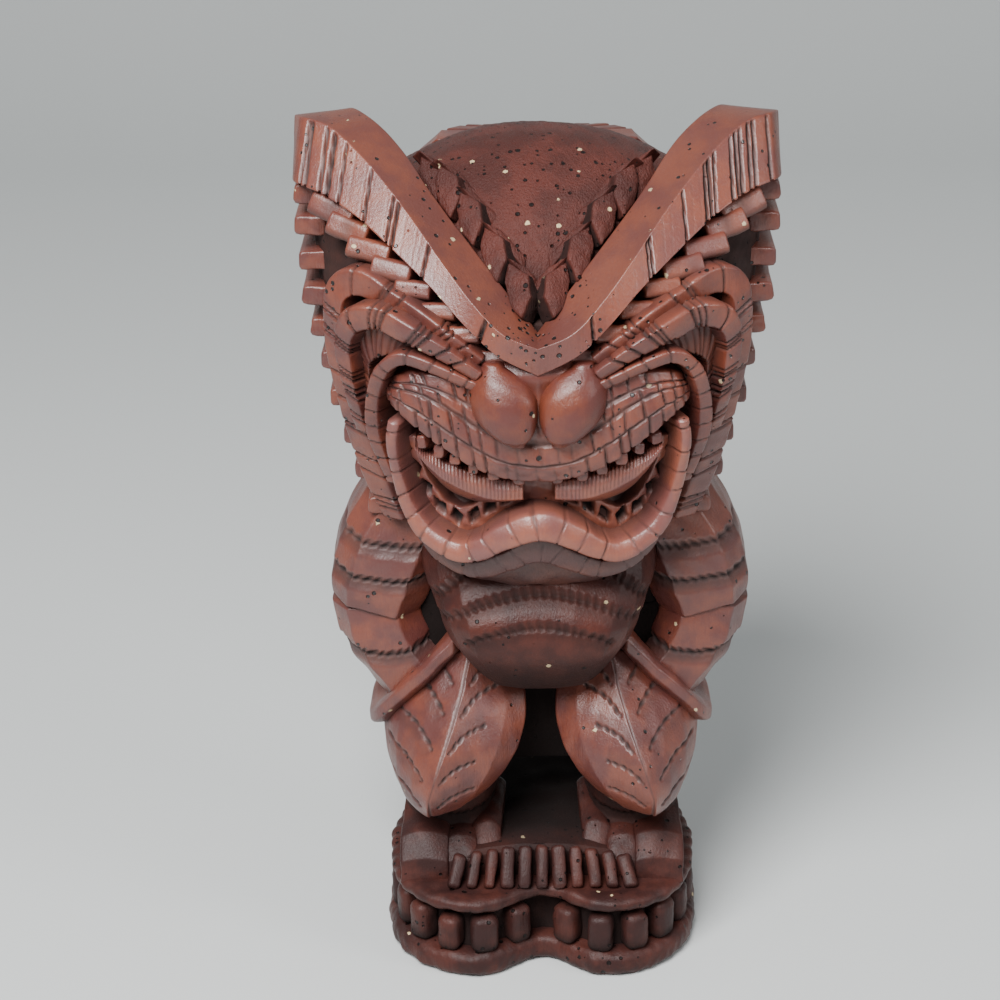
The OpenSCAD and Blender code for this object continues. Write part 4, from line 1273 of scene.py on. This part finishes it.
@dataclass(frozen=True)
class Mouth:
    """Lip, chin, muzzle, the rolls in the mouth, and the teeth."""

    lip: Stops = (
        (27.4, 34.6, 2.6, 8.5, 8.5), (28, 31, 2.4, 9, 9), (27.7, 26, 2.4, 9, 9), (26.8, 20.4, 2.6, 9.3, 9),
        (25.4, 15, 3, 9.6, 9.2), (23, 10.6, 3.5, 10.2, 9.8), (19.4, 8, 4, 11, 10.5),
        (15.2, 6.6, 4.4, 11.6, 11),
        (11, 8.2, 4.6, 12, 11.5), (6.6, 11.2, 5.2, 12.5, 11.5), (0, 13.8, 5.8, 13, 11.5),
    )
    chin: Stops = ((24, 8, 4, 5, 6), (19.6, 2.6, 4, 6.5, 7.5), (12.7, 0.8, 4.4, 8, 9), (6.2, 4, 5, 9, 10),
                   (0, 7.2, 6, 9.5, 10.5))
    muzzle: Stops = ((0, 23.4, 27, 31.6, 42.5, 9.5), (6, 24, 28, 33, 43, 9.6), (12, 26.4, 31, 35.6, 44, 9.6),
                     (18, 30.4, 35, 39.6, 45.2, 9.4), (23, 34, 38, 41.6, 45, 9),
                     (26.5, 36.6, 39.4, 41.6, 43.6, 8),
                     (28.6, 38, 39.4, 40.6, 41.6, 5.5))
    joints: Stops = ((2.0, 7.0), (3.0, 7.0), (1.55, 11.0))
    bricks: tuple[tuple[float, float, int, int], ...] = (
        (1.0, 1.55, 15, 1), (1.55, 2.0, 17, 6), (2.0, 3.0, 19, 2), (3.0, 4.2, 21, 3),
    )
    roll: Stops = (
        (23.4, 30.6, 29.4, 28), (21.4, 28.6, 26, 22.8), (18, 26.6, 22.6, 18.2), (13.4, 24.4, 19.8, 15.8),
        (8, 22.8, 18.2, 15.6), (3, 22.2, 18.4, 16.6),
    )
    lower_gum: Stops = (
        (25.6, 30), (25.2, 26), (24, 21), (22.2, 16.4), (19.4, 12.6), (15.6, 10.8), (12, 12), (8.4, 14.8),
        (4.4, 17.6), (1.4, 19),
    )
    upper_gum: Stops = ((22.6, 31.6), (16.5, 28.4), (10, 25), (2.2, 23.4))
    pits: Stops = (
        (25.6, 27, -0.1), (23.8, 22.4, -0.2), (21.9, 17.7, -0.35), (19.3, 13.6, -0.5), (16.1, 11.6, -0.2),
        (12.7, 12.2, 0.3), (9.5, 14.6, 0.5), (6.2, 17, 0.5),
    )

    def _muzzle(self) -> Skin:
        """The upper lip: stacked courses with joints between them, cut into bricks."""
        half = np.asarray(self.muzzle, float)
        left = half[:0:-1].copy()
        left[:, 0] *= -1
        q = spline(np.concatenate([left, half]), 16)
        q = respace(q, FACE.at(q[:, 0], q[:, 1], 9.0), CELL)
        x, out = q[:, 0], q[:, 5]
        corners = [(q[:, 4], -3 + 0 * out), (q[:, 4], out - 2.6), (q[:, 3], out - 0.5), (q[:, 2], out + 0.3),
                   (q[:, 1], out), (q[:, 1] - 0.4, -3 + 0 * out)]
        parts = (8, 26, 16, 16, 10, 8)
        grid, course = [], []
        for k, count in enumerate(parts):
            (u0, o0), (u1, o1) = corners[k], corners[(k + 1) % 6]
            for s in np.arange(count) / count:
                grid.append(FACE.at(x, u0 + (u1 - u0) * s, o0 + (o1 - o0) * s))
                course.append(k + s)
        skin = Skin(np.stack(grid, axis=1)).soften(2)
        course = np.array(course)[None]
        along = along_of(skin.grid)
        depth = 0.6 * sum(np.clip(1 - np.abs(course - c) * w, 0, 1) for c, w in self.joints)
        edge = ramp(np.abs(x), 5, 11)[:, None]
        for low, high, count, seed in self.bricks:
            inside = ((course > low) & (course < high)) * (0.35 + 0.65 * edge)
            cuts = Cuts(evenly(count, 0.3, seed), 0.75, 0.75, 0.7, seed + 4)
            across = (course - low) / (high - low) * 2 - 1
            depth = np.maximum(depth, cuts.depths(along, across) * inside)
        skin.carve(np.minimum(depth, 0.9), 0.9).rough(0.14, 1.6, 101)
        return skin

    def _roll(self) -> Skin:
        """A roll beside the mouth's opening, finely ribbed by a sine along it."""
        q = spline(np.asarray(self.roll, float))
        q = respace(q, FACE.at(q[:, 0], q[:, 1], 6.0), 0.2)
        x, top, ridge, low = q.T
        corners = [(low, 0 * low), (low, 4.2 + 0 * low), (ridge, 8.6 + 0 * low),
                   ((top + ridge) / 2, 8.2 + 0 * low),
                   (top, 6.4 + 0 * low), (top, 0 * low)]
        grid, course = [], []
        for k, count in enumerate((6, 12, 10, 10, 8, 6)):
            (u0, o0), (u1, o1) = corners[k], corners[(k + 1) % 6]
            for s in np.arange(count) / count:
                grid.append(FACE.at(x, u0 + (u1 - u0) * s, o0 + (o1 - o0) * s))
                course.append(k + s)
        skin = Skin(np.stack(grid, axis=1)).soften(3)
        course = np.array(course)[None]
        along = along_of(skin.grid)
        ribs = np.clip(np.sin(along * 2 * math.pi / 0.78 + 0.6 * np.sin(along * 1.3)), 0, 1)
        upper = ramp(course, 1.9, 2.4) * (1 - ramp(course, 4.0, 4.8))
        skin.carve(0.26 * ribs * upper, 0.7)
        # Painted shade: the roll's underside is painted dark.
        return skin.darken(1 - ramp(course, 0.4, 1.6) + 0 * skin.shade).rough(0.08, 3.0, 103)

    def _gum(self) -> Skin:
        """The shelf inside the lip, with leaning pits that leave the lower teeth between them."""
        rows = np.array([(x, up, 5.6, 3.6, 4.4) for x, up in mirror_stops(self.lower_gum)])
        gum = face_band(tuple(map(tuple, rows)), (), crown=0.3, corners=2)
        at = gum.grid[..., [0, 2]]
        pit = np.zeros(gum.shade.shape)
        for x, up, lean in self.pits:
            away = np.abs(at[..., 0]) - x, at[..., 1] - up
            a = away[0] * math.cos(lean) + away[1] * math.sin(lean)
            b = away[1] * math.cos(lean) - away[0] * math.sin(lean)
            pit = np.maximum(pit, ramp(1 - np.abs(a) / 1.45 - np.abs(b) / 2.7, 0, 0.4))
        return gum.carve(2.0 * pit * ramp(-gum.outward()[..., 1], 0.2, 0.5), 0.5).rough(0.12, 1.2, 110)

    def _teeth(self, size: Sequence[float], out: float, seed: int) -> list[Skin]:
        """The small upper teeth, six on each side.

        Args:
            size: a tooth's width, height and length.
            out: how far they stand proud of the face.
            seed: sets their small differences.

        Returns:
            The teeth.
        """
        rng = np.random.default_rng(seed)
        line = spline(np.asarray(self.upper_gum, float), 30)
        skins = []
        for side in Side:
            for k in range(6):
                x, up = line[int((k + 0.5 + rng.uniform(-0.12, 0.12)) / 6 * (len(line) - 1))]
                away = FACE.outward(np.array(x), np.array(up))
                along = np.cross([0, 0, 1.0], away)
                tilt = math.radians(rng.uniform(-9, 9))
                first = along * math.cos(tilt) + np.array([0, 0, 1.0]) * math.sin(tilt)
                axes = np.array([first, np.cross(away, first), away])
                each = np.array(size) * rng.uniform(0.82, 1.12, 3)
                tooth = block(each, FACE.at(np.array(x), np.array(up), out), axes, 4, 0.5)
                tooth.rough(0.12, 1.2, seed + k)
                skins.append(tooth.mirrored() if side is Side.LEFT else tooth)
        return skins

    def build(self, shop: Workshop) -> None:
        """Makes the mouth's pieces."""
        place = shop.figure.head
        lip_cuts = Cuts(evenly(21, 0.2, 8), 0.55, 0.45, 0.5, 9)
        lip = face_band(mirror_stops(self.lip), (lip_cuts,), crown=0.7, corners=3)
        shop.add("lower_lip", [lip], place, HIGHLIT_MOUTH_FINISH, "mouth", ["lower_lip"])
        chin = face_band(mirror_stops(self.chin), (Cuts(evenly(13, 0.25, 4), 0.5, 0.4, 0.3, 2),), crown=0.5)
        shop.add("chin_roll", [chin.darken(0.2)], place, BODY_FINISH, "face", ["chin_roll"])
        shop.add("muzzle", [self._muzzle()], place, FACE_FINISH, "face", ["muzzle"])
        shop.add_pair("mouth_roll", [self._roll()], shop.figure.head, HIGHLIT_MOUTH_FINISH, "mouth")
        shop.add("lower_teeth", [self._gum()], place, HIGHLIT_MOUTH_FINISH, "mouth", ["lower_teeth"])
        shop.add("upper_teeth", self._teeth((2.3, 2.6, 4.2), 6.4, 120), place, FACE_FINISH, "mouth",
                 ["upper_teeth"])


@dataclass(frozen=True)
class Nose:
    """Two bulbs of a nose and the flat bridge over them."""

    bulb: Stops = ((32.6, 4.4, 2, -43, -36), (34, 5, 3.8, -44.4, -35), (37.4, 6, 5.7, -45.4, -34),
                   (41.4, 6.6, 6.1, -45.2, -33),
                   (45, 7.4, 5, -43.6, -32), (47.4, 8.4, 2.4, -41.4, -33))
    bridge: Stops = ((30, 3.5, -38), (38, 5, -41), (43, 9, -41.6), (46, 9.5, -42), (49, 6, -40))

    def build(self, shop: Workshop) -> None:
        """Makes the nose's pieces."""
        rings = []
        for up, across, half, front, back in self.bulb:
            middle, deep = (front + back) / 2, (back - front) / 2
            flat = np.array([[-1, 0.1], [-0.92, -0.7], [-0.35, -1], [0.45, -0.92], [0.95, -0.35], [1, 0.4],
                             [0.5, 1], [-0.5, 1]])
            rings.append(np.column_stack([across + flat[:, 0] * half, middle + flat[:, 1] * deep,
                                          np.full(8, up)]))
        bulb = loft(np.array(rings), 0.25, 2, True).rounded_ends(1.0).rough(0.07, 3.0, 131)
        shop.add_pair("nostril", [bulb], shop.figure.head, SKIN_FINISH, "face")
        rings = [[[-w, -30, up], [-w, y + 2, up], [0, y, up], [w, y + 2, up], [w, -30, up]]
                 for up, w, y in self.bridge]
        bridge = loft(np.array(rings), CELL, 2).rough(0.12, 3.0, 133)
        shop.add("nose_bridge", [bridge], shop.figure.head, SKIN_FINISH, "face", ["nose_bridge"])


@dataclass(frozen=True)
class Eyes:
    """Bands nested round each eye, from the brow to the cheek."""

    brow: Stops = (
        (29.4, 6, 4.4, 5, 3), (33, 16, 4.8, 5.5, 3), (36, 28, 5, 5.5, 3.4), (38.2, 40, 5, 5.5, 4),
        (39.2, 50, 5, 5.5, 4.6), (38, 58, 5.6, 6, 6), (33.4, 60.4, 5.6, 6.5, 6), (28, 58.4, 4.8, 7, 6),
        (22, 55.6, 4.4, 7.5, 6), (16, 51.6, 4.2, 7.5, 6), (11, 47.8, 3.8, 7.5, 6),
    )
    eye: Stops = (
        (34.4, 28, 2.6, 5, 4), (36.4, 40, 3, 7, 6), (37, 49, 3.8, 8, 7), (35, 54, 5, 8.6, 7.2),
        (30, 55.4, 5.4, 9, 7.4), (24.6, 53.8, 5, 9.4, 8), (18.2, 50.6, 3.8, 9.4, 8), (11, 45.8, 2.6, 9, 8),
    )
    cheek: Stops = (
        (28.8, 18, 2.4, 6, 6), (30.6, 24, 2.4, 6.5, 5.5), (31.9, 31, 2.6, 7.5, 6), (31.4, 39, 2.6, 8.5, 7),
        (29.2, 45.6, 2.8, 9, 8), (25, 48.4, 3, 9, 8), (18.4, 46.6, 2.6, 9, 8), (11, 43.4, 2.2, 9, 8),
    )
    panel: Stops = (
        (31.6, 17, 5, 2.4, 1.6), (34, 28, 6, 2.6, 2), (34.6, 39, 7, 3, 3), (33.6, 47, 7, 4, 4),
        (27, 50.6, 6, 5, 5),
        (19, 48.6, 5, 5.5, 5.5),
    )

    def build(self, shop: Workshop) -> None:
        """Makes the eyes' pieces."""
        brow = face_band(self.brow, (Cuts(groups(evenly(13, 0.25, 12), 0.014, 3), 0.7, 0.7, 1.2, 14),),
                         crown=0.2)
        shop.add_pair("brow_band", [brow], shop.figure.head, FACE_FINISH, "face")
        eye = face_band(self.eye, (Cuts(groups(evenly(9, 0.25, 16), 0.02, 9), 0.75, 0.8, 1.6, 18),),
                        crown=0.3)
        shop.add_pair("eye_band", [eye], shop.figure.head, FACE_FINISH, "face")
        panel = face_band(self.panel, (Cuts(evenly(30, 0.3, 20), 0.6, 0.45, 3.0, 22),), crown=0.0)
        shop.add_pair("eye_panel", [panel.darken(0.1)], shop.figure.head, SKIN_FINISH, "face")
        cheek = face_band(self.cheek, (Cuts(evenly(12, 0.3, 24), 0.55, 0.45, 0.4, 26),), crown=0.2, corners=2)
        shop.add_pair("cheek_ridge", [cheek], shop.figure.head, FACE_FINISH, "face")


# ---------------------------------------------------------------- crest, comb and back


@dataclass(frozen=True)
class Crest:
    """The V crest, the stepped blocks under it and the leaves behind it."""

    ridge: Stops = (
        (0, -44, 52.3), (6.5, -43, 54.8), (12.2, -39.9, 60.1), (18, -34.6, 66.6), (24.5, -27, 73.8),
        (32, -18.6, 80.7), (39.1, -11.8, 85.3), (44.6, -7, 85.9), (46.6, 0, 84.4),
    )
    lower: Stops = (
        (0, -42.2, 46.2), (7.3, -42.5, 50.2), (13.2, -41.1, 55.5), (19, -37.4, 61.2), (25.6, -32.2, 66.4),
        (33, -25.8, 71.4), (40.2, -19.7, 74.4), (45.8, -14, 75), (47.2, -4, 73.4),
    )
    buried: Stops = (
        (0, -27, 47), (6, -26, 50), (11, -24, 54.5), (16, -20, 59.5), (22, -14.5, 63.5), (28.5, -8, 67.4),
        (34, -2, 69.6), (38.5, 3, 70.4), (40.5, 6, 70),
    )
    inner: Stops = (
        (0, -36, 52.6), (4.6, -33.4, 58.1), (9.3, -30.3, 63.5), (14, -25.6, 68.4), (19.7, -19.4, 74.3),
        (25.5, -11.8, 80.9), (30.5, -7, 84.8), (34.6, -1, 85.8), (37, 4, 84.4),
    )
    cut_groups: tuple[float, ...] = (43.4, 39.4, 36, 31, 26.8, 20, 9.7)
    steps: Stops = (
        (39.4, 71.6), (36.2, 69), (31.6, 65.8), (26.6, 62.8), (21.9, 59.3), (16.6, 55.4), (10.8, 51),
        (5, 46.2),
    )
    step: tuple[float, float, float] = (9.8, 5.0, 9)
    step_lean: float = 0.4
    step_count: int = 8
    apexes: Stops = (
        (5.4, -29.6, 64.4), (9.9, -24.6, 69.8), (14.4, -18.9, 75.0), (18.6, -13.6, 78.6), (22, -9.4, 79),
    )
    leaf_lean: tuple[float, float] = (0.62, 0.785)
    leaf: Stops = ((0, 0.2), (0.9, -3.6), (0.0, -8.0), (-2.6, -11.2), (-4.6, -7.2), (-4.0, -2.9))
    tab: Stops = ((0.2, 0.3), (-3.6, -3.2), (-5.0, -5.0), (-8.5, -8.2), (-9.0, -5.6), (-3.4, -1.0))

    def _crest(self) -> Skin:
        """The V: four edges carried from side to side, with groups of knife cuts on its front."""
        edges = []
        for edge in (self.ridge, self.lower, self.buried, self.inner):
            right = spline(np.asarray(edge, float), 12)
            edges.append(np.concatenate([right[:0:-1] * [-1, 1, 1], right]))
        crest = loft(np.stack(edges, axis=1), 0.35, 1, dense=1)
        along = along_of(crest.grid)
        column = np.arange(crest.grid.shape[1]) / (crest.grid.shape[1] // 4)
        across = (1 - 2 * column)[None]
        front = (np.clip((1.12 - column) * 6, 0, 1) * np.clip(column * 14, 0, 1))[None]
        places = np.array([sign * x for x in self.cut_groups for sign in (-1, 1)])
        shares = np.interp(np.sort(places), crest.grid[:, 0, 0], along[:, 0] / along.max())
        cuts = Cuts(groups(shares, 0.0085, 31), 0.9, 1.35, 0.9, 32).depths(along, across) * front
        fine = Cuts(evenly(46, 0.45, 34), 0.4, 0.07, 0.9, 35).depths(along, across) * front
        middle = np.abs(crest.grid[..., 0])
        crest.pores = (1 - ramp(middle, 4, 15)) * (0.35 + 0.65 * ramp(-crest.grid[..., 1], 28, 36))
        crest.carve(np.maximum(cuts, fine), 0.9).rounded_ends(0.7)
        # Painted shade: the crest's top strip is painted a little darker than its front.
        top = np.clip((column - 2.9) * 12, 0, 1)[None] * np.ones((len(crest.grid), 1))
        return crest.darken(0.14 * top).rough(0.06, 6.0, 141)

    def _steps(self) -> list[Skin]:
        """Stepped blocks, smaller towards the middle, where they tilt the other way."""
        rng = np.random.default_rng(151)
        line = spline(np.asarray(self.steps, float), 30)
        skins = []
        for k in range(self.step_count):
            part = k / (self.step_count - 1)
            x, up = line[int((k + 0.3) / self.step_count * (len(line) - 1))]
            face = FACE.outward(np.array(x), np.array(up), 5.5)
            level = np.cross([0, 0, 1.0], face)
            tilt = math.radians(16 - 24 * part + rng.uniform(-3, 3))
            length = level * math.cos(tilt) + np.array([0, 0, 1.0]) * math.sin(tilt)
            rise = np.cross(face, length)
            rise *= np.sign(rise[2])
            away = face * math.cos(self.step_lean) + rise * math.sin(self.step_lean)
            rise = rise * math.cos(self.step_lean) - face * math.sin(self.step_lean)
            size = np.array(self.step) * (1 - 0.45 * part) * rng.uniform(0.95, 1.05, 3)
            centre = FACE.at(np.array(x), np.array(up), 5.5) - away * size[2] * 0.42
            step = block((size[1], size[2] * 0.95, size[0]), centre, np.array([rise, away, length]), 6, 0.6)
            along = (step.grid - centre) @ length
            # Painted shade: each block is painted darker at its back and its underside.
            behind = 0.6 * ramp(-((step.grid - centre) @ away), 0.0, 3.0)
            under = 0.35 * ramp(-((step.grid - centre) @ rise), 0.6, 2.0)
            step.darken(np.maximum(behind, under))
            cut = np.clip(1 - np.abs(along - rng.uniform(-0.25, 0.25) * size[0]) / 0.4, 0, 1) * 0.35
            skins.append(step.carve(cut, 1.2).rough(0.14, 2.0, 152 + k))
        return skins

    def _arm(self, apex: Array, shape: Sequence[tuple[float, float]], tilt: float, thick: float,
             seed: int) -> Skin:
        """One arm of a leaf: its outline on a leaning plane, thickened, with its face a little domed.

        Args:
            apex: where the outline's origin lies.
            shape: the outline, as steps across and up the plane.
            tilt: how far the plane is turned aside, in radians.
            thick: how far it reaches back.
            seed: sets its small unevenness.

        Returns:
            The skin.
        """
        flat = np.array(shape, float)
        centre = flat.mean(0)
        back, up = self.leaf_lean
        rise = np.array([0, back, up])
        face = unit(np.array([math.sin(tilt), -up * math.cos(tilt), back * math.cos(tilt)]))
        axes = np.array([unit(np.cross(rise, face)), rise])
        axes[0] *= np.sign(axes[0][0])
        rings = []
        for level, share in ((-thick, 1.0), (-0.5, 1.0), (-0.1, 0.97), (0.12, 0.86), (0.3, 0.5),
                             (0.35, 0.08)):
            rings.append(apex + (centre + (flat - centre) * share) @ axes + face * level)
        arm = loft(np.array(rings), 0.3, 0, dense=4)
        # Painted shade: each arm's sides, below its face, are painted dark, except on the highest leaves.
        shade = 0.7 * (1 - ramp(apex[2], 77, 79))
        return arm.darken(shade * ramp((apex - arm.grid) @ face, 0.35, 1.1)).rough(0.12, 2.0, seed)

    def _leaves(self) -> list[Skin]:
        """A chevron at each place: a broad leaf down to the crest and a squared tab down to the skull."""
        skins = []
        for k, (x, y, up) in enumerate(self.apexes):
            apex = np.array([x, y, up])
            skins.append(self._arm(apex - [0, 0, 0.4], self.leaf, 0.5, 4.5, 160 + k))
            skins.append(self._arm(apex + [0, -0.9, 0.8], self.tab, -0.45, 3.5, 170 + k))
        return skins

    def build(self, shop: Workshop) -> None:
        """Makes the crest's pieces."""
        place = shop.figure.head
        shop.add("crest", [self._crest()], place, CREST_FINISH, "crest", ["crest_left", "crest_right"])
        shop.add_pair("crest_steps", self._steps(), place, CREST_FINISH, "crest")
        shop.add_pair("crown_leaves", self._leaves(), place, SKULL_FINISH, "crest")


@dataclass(frozen=True)
class Hair:
    """Side combs, back plate, chevrons and locks."""

    comb: Stops = ((46.6, 74), (46.6, 66), (46, 56), (44.6, 46), (42.4, 36), (39.6, 25), (36.4, 14),
                   (33.4, 4))
    comb_front: float = -12
    comb_back: float = 16
    slats: int = 10
    plate: Stops = ((-30, 9, 24), (-22, 14, 28.5), (-10, 19, 31), (4, 24, 33.5), (20, 28, 36), (38, 31, 37.5),
                    (54, 31, 37.5),
                    (66, 27, 34), (75, 20, 26))
    lock: Stops = ((38, 14, 66), (38.5, 20, 56), (37, 24, 44), (34, 26, 30), (30, 25.5, 16), (26, 23, 4),
                   (23, 21, -6))
    chevrons: int = 7

    def _comb(self) -> list[Skin]:
        """The comb: slats across a backing painted dark, as painted shade between the slats."""
        rows = np.asarray(self.comb, float)
        front, back = self.comb_front, self.comb_back
        rings = [[[x - 9, front + 2, up], [x - 3.4, front + 4, up], [x - 2, back - 4, up],
                  [x - 9, back + 6, up]] for x, up in rows]
        # The backing is painted dark: painted shade between the slats.
        skins = [loft(np.array(rings), 0.7, 1).darken(0.8)]
        rng = np.random.default_rng(171)
        line = spline(rows, 30)
        for k in range(self.slats):
            x, up = line[int((k + 0.5) / self.slats * (len(line) - 1))]
            size = np.array([6.4, 3.9, back - front]) * rng.uniform(0.94, 1.03, 3)
            centre = np.array([x - 3.2 + rng.uniform(-0.2, 0.1), (front + back) / 2, up])
            tilt = math.radians(rng.uniform(-3, 6))
            axes = np.array([[math.cos(tilt), 0, math.sin(tilt)], [-math.sin(tilt), 0, math.cos(tilt)],
                             [0, 1.0, 0]])
            skins.append(block(size, centre, axes, 6, 0.6).rough(0.18, 3.0, 172 + k))
        return skins

    def _plate(self) -> Skin:
        """The back plate, with six wavering strands a side."""
        rings = []
        for up, w, b in self.plate:
            rings.append([[w, b - 12, up], [w * 0.96, b - 5, up], [w * 0.7, b - 1.4, up], [0, b, up],
                          [-w * 0.7, b - 1.4, up],
                          [-w * 0.96, b - 5, up], [-w, b - 12, up]])
        plate = loft(np.array(rings), 0.58, 3)
        width = np.interp(plate.grid[..., 2], [r[0] for r in self.plate], [r[1] for r in self.plate])
        strand = np.abs(plate.grid[..., 0]) / width * 6 + 0.25 * waver(plate.grid, 12.0, 181)
        groove = np.clip(1 - np.abs(strand % 1 - 0.5) * 6, 0, 1)
        behind = ramp(plate.outward()[..., 1], 0.1, 0.5)
        return plate.carve(0.6 * groove * behind, 1.1).rough(0.15, 4.0, 182)

    def _chevrons(self) -> list[Skin]:
        """Bent bars on the back plate, lower in the middle by 0.55 of their half width."""
        line = spline(np.asarray([(w, b, up) for up, w, b in self.plate], float), 12)
        skins = []
        for k in range(self.chevrons):
            w, b, up = line[int(round((0.1 + (k + 0.5) / self.chevrons * 0.78) * (len(line) - 1)))]
            half = w * 0.56
            rings = []
            for x in np.linspace(-half, half, 9):
                level = up - half * 0.55 * (1 - abs(x) / half) - 1.9
                y = b - 1.0 - 1.2 * (abs(x) / half) ** 2
                rings.append([[x, y - 2, level - 1.9], [x, y + 1.2, level - 1.7], [x, y + 1.9, level],
                              [x, y + 1.2, level + 1.7],
                              [x, y - 2, level + 1.9]])
            skins.append(loft(np.array(rings), 0.4, 2).rounded_ends(0.5).rough(0.15, 2.5, 190 + k))
        return skins

    def _lock(self) -> Skin:
        """A lock of the nape: a tapering tube with seven grooves that turn about it."""
        p = respace(spline(np.asarray(self.lock, float)), spline(np.asarray(self.lock, float)), 0.45)
        radius = 7.5 * (1 - 0.22 * np.linspace(0, 1, len(p)))
        ring = superoval(110, 2.2)
        flat = ring[None] * radius[:, None, None]
        grid = np.concatenate([flat, np.zeros(flat.shape[:2] + (1,))], -1) + p[:, None]
        lock = Skin(grid)
        turn = np.linspace(0, 1, 110, endpoint=False)[None] * 7 + along_of(lock.grid) / 26
        groove = np.clip(1 - np.abs(turn % 1 - 0.5) * 6, 0, 1)
        return lock.carve(0.6 * groove, 1.1).rough(0.15, 4.0, 199)

    def build(self, shop: Workshop) -> None:
        """Makes the pieces of the sides and back."""
        place = shop.figure.head
        shop.add_pair("side_comb", self._comb(), place, BODY_FINISH, "hair")
        shop.add("back_plate", [self._plate()], place, BODY_FINISH, "hair", ["back_plate"])
        shop.add("back_chevrons", self._chevrons(), place, BODY_FINISH, "hair", ["back_chevrons"])
        lock = self._lock()
        shop.add("nape_locks", [lock, lock.mirrored()], place, BODY_FINISH, "hair", ["nape_locks"])


# ---------------------------------------------------------------- stage


@dataclass(frozen=True)
class Studio:
    """Floor, lights and camera.

    Attributes:
        elevation: the camera's angle over the level, in degrees.
        distance: from the camera to the point it looks at, in metres.
        lens: focal length on a 36 mm sensor.
        aim: what the camera would centre on, before it is turned.
        turn: how far it is turned aside and up from there, in degrees.
        roll: how far it is rolled about its own line of sight, in degrees.
        floor_colour: the floor's colour.
        sky_colour: the colour of the light from all round.
        sky_strength: how strong that light is.
        lit_at: where the lamps point.
        lamps: each lamp's name, power in watts, size in metres and place.
    """

    elevation: float = 25.0
    distance: float = 0.55
    lens: float = 95.7
    aim: tuple[float, float, float] = (0.0, 0.0028, 0.085)
    turn: tuple[float, float] = (0.923, 0.92)
    roll: float = -0.82
    floor_colour: Colour = (0.60, 0.615, 0.61, 1)
    sky_colour: Colour = (0.80, 0.84, 0.86, 1)
    sky_strength: float = 0.42
    lit_at: tuple[float, float, float] = (0, 0, 0.09)
    lamps: tuple[tuple[str, float, float, tuple[float, float, float]], ...] = (
        ("key", 10.5, 0.38, (-0.18, -0.42, 0.60)),
        ("side", 2.2, 0.3, (0.70, -0.35, 0.45)),
    )

    def _light(self, name: str, power: float, size: float, place: Sequence[float]) -> None:
        """Hangs a round white lamp that points at the figure.

        Args:
            name: the lamp's name.
            power: its power in watts.
            size: how wide it is, in metres.
            place: where it hangs, in metres.
        """
        data = bpy.data.lights.new(name, "AREA")
        data.energy, data.shape, data.size = power, "DISK", size
        lamp = bpy.data.objects.new(name, data)
        lamp.location = place
        lamp.rotation_euler = (Vector(self.lit_at) - Vector(place)).to_track_quat("-Z", "Y").to_euler()
        bpy.context.scene.collection.objects.link(lamp)

    def build(self) -> None:
        """Makes the floor with its swept-up back, the lights and the camera."""
        bend, far, wide, high = 0.35, 0.55, 2.5, 1.6
        y = [-2.0, 0.0, far]
        z = [0.0, 0.0, 0.0]
        for a in np.linspace(0, math.pi / 2, 14)[1:]:
            y.append(far + bend * math.sin(a))
            z.append(bend * (1 - math.cos(a)))
        y.append(far + bend)
        z.append(high)
        verts = [(x, yy, zz) for x in (-wide, wide) for yy, zz in zip(y, z)]
        n = len(y)
        faces = [(i, n + i, n + i + 1, i + 1) for i in range(n - 1)]
        mesh = bpy.data.meshes.new("floor")
        mesh.from_pydata(verts, [], faces)
        mesh.polygons.foreach_set("use_smooth", [True] * len(faces))
        floor = bpy.data.objects.new("floor", mesh)
        bpy.context.scene.collection.objects.link(floor)
        material = bpy.data.materials.new("pale floor")
        material.use_nodes = True
        g = Graph(material.node_tree)
        shader = g.node("ShaderNodeBsdfPrincipled", {"Base Color": self.floor_colour, "Roughness": 0.9})
        g.node("ShaderNodeOutputMaterial", {"Surface": shader})
        mesh.materials.append(material)

        for name, power, size, place in self.lamps:
            self._light(name, power, size, place)
        world = bpy.data.worlds.new("studio")
        world.use_nodes = True
        world.node_tree.nodes["Background"].inputs["Color"].default_value = self.sky_colour
        world.node_tree.nodes["Background"].inputs["Strength"].default_value = self.sky_strength
        bpy.context.scene.world = world

        data = bpy.data.cameras.new("camera")
        data.lens, data.sensor_width = self.lens, 36.0
        data.clip_start, data.clip_end = 0.01, 20
        camera = bpy.data.objects.new("camera", data)
        tilt = math.radians(self.elevation)
        camera.location = Vector(self.aim) + Vector((0, -math.cos(tilt), math.sin(tilt))) * self.distance
        level = Euler((math.pi / 2 - tilt + math.radians(self.turn[1]), 0, math.radians(self.turn[0])))
        rolled = Matrix.Rotation(math.radians(self.roll), 3, "Z")
        camera.rotation_euler = (level.to_matrix() @ rolled).to_euler()
        bpy.context.scene.collection.objects.link(camera)
        bpy.context.scene.camera = camera


def main() -> None:
    """Builds every piece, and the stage."""
    shop = Workshop(Figure())
    for part in (Base(), Legs(), Trunk(), Arms(), Mass(), Mouth(), Nose(), Eyes(), Crest(), Hair()):
        part.build(shop)
    Studio().build()


if __name__ == "__main__":
    main()
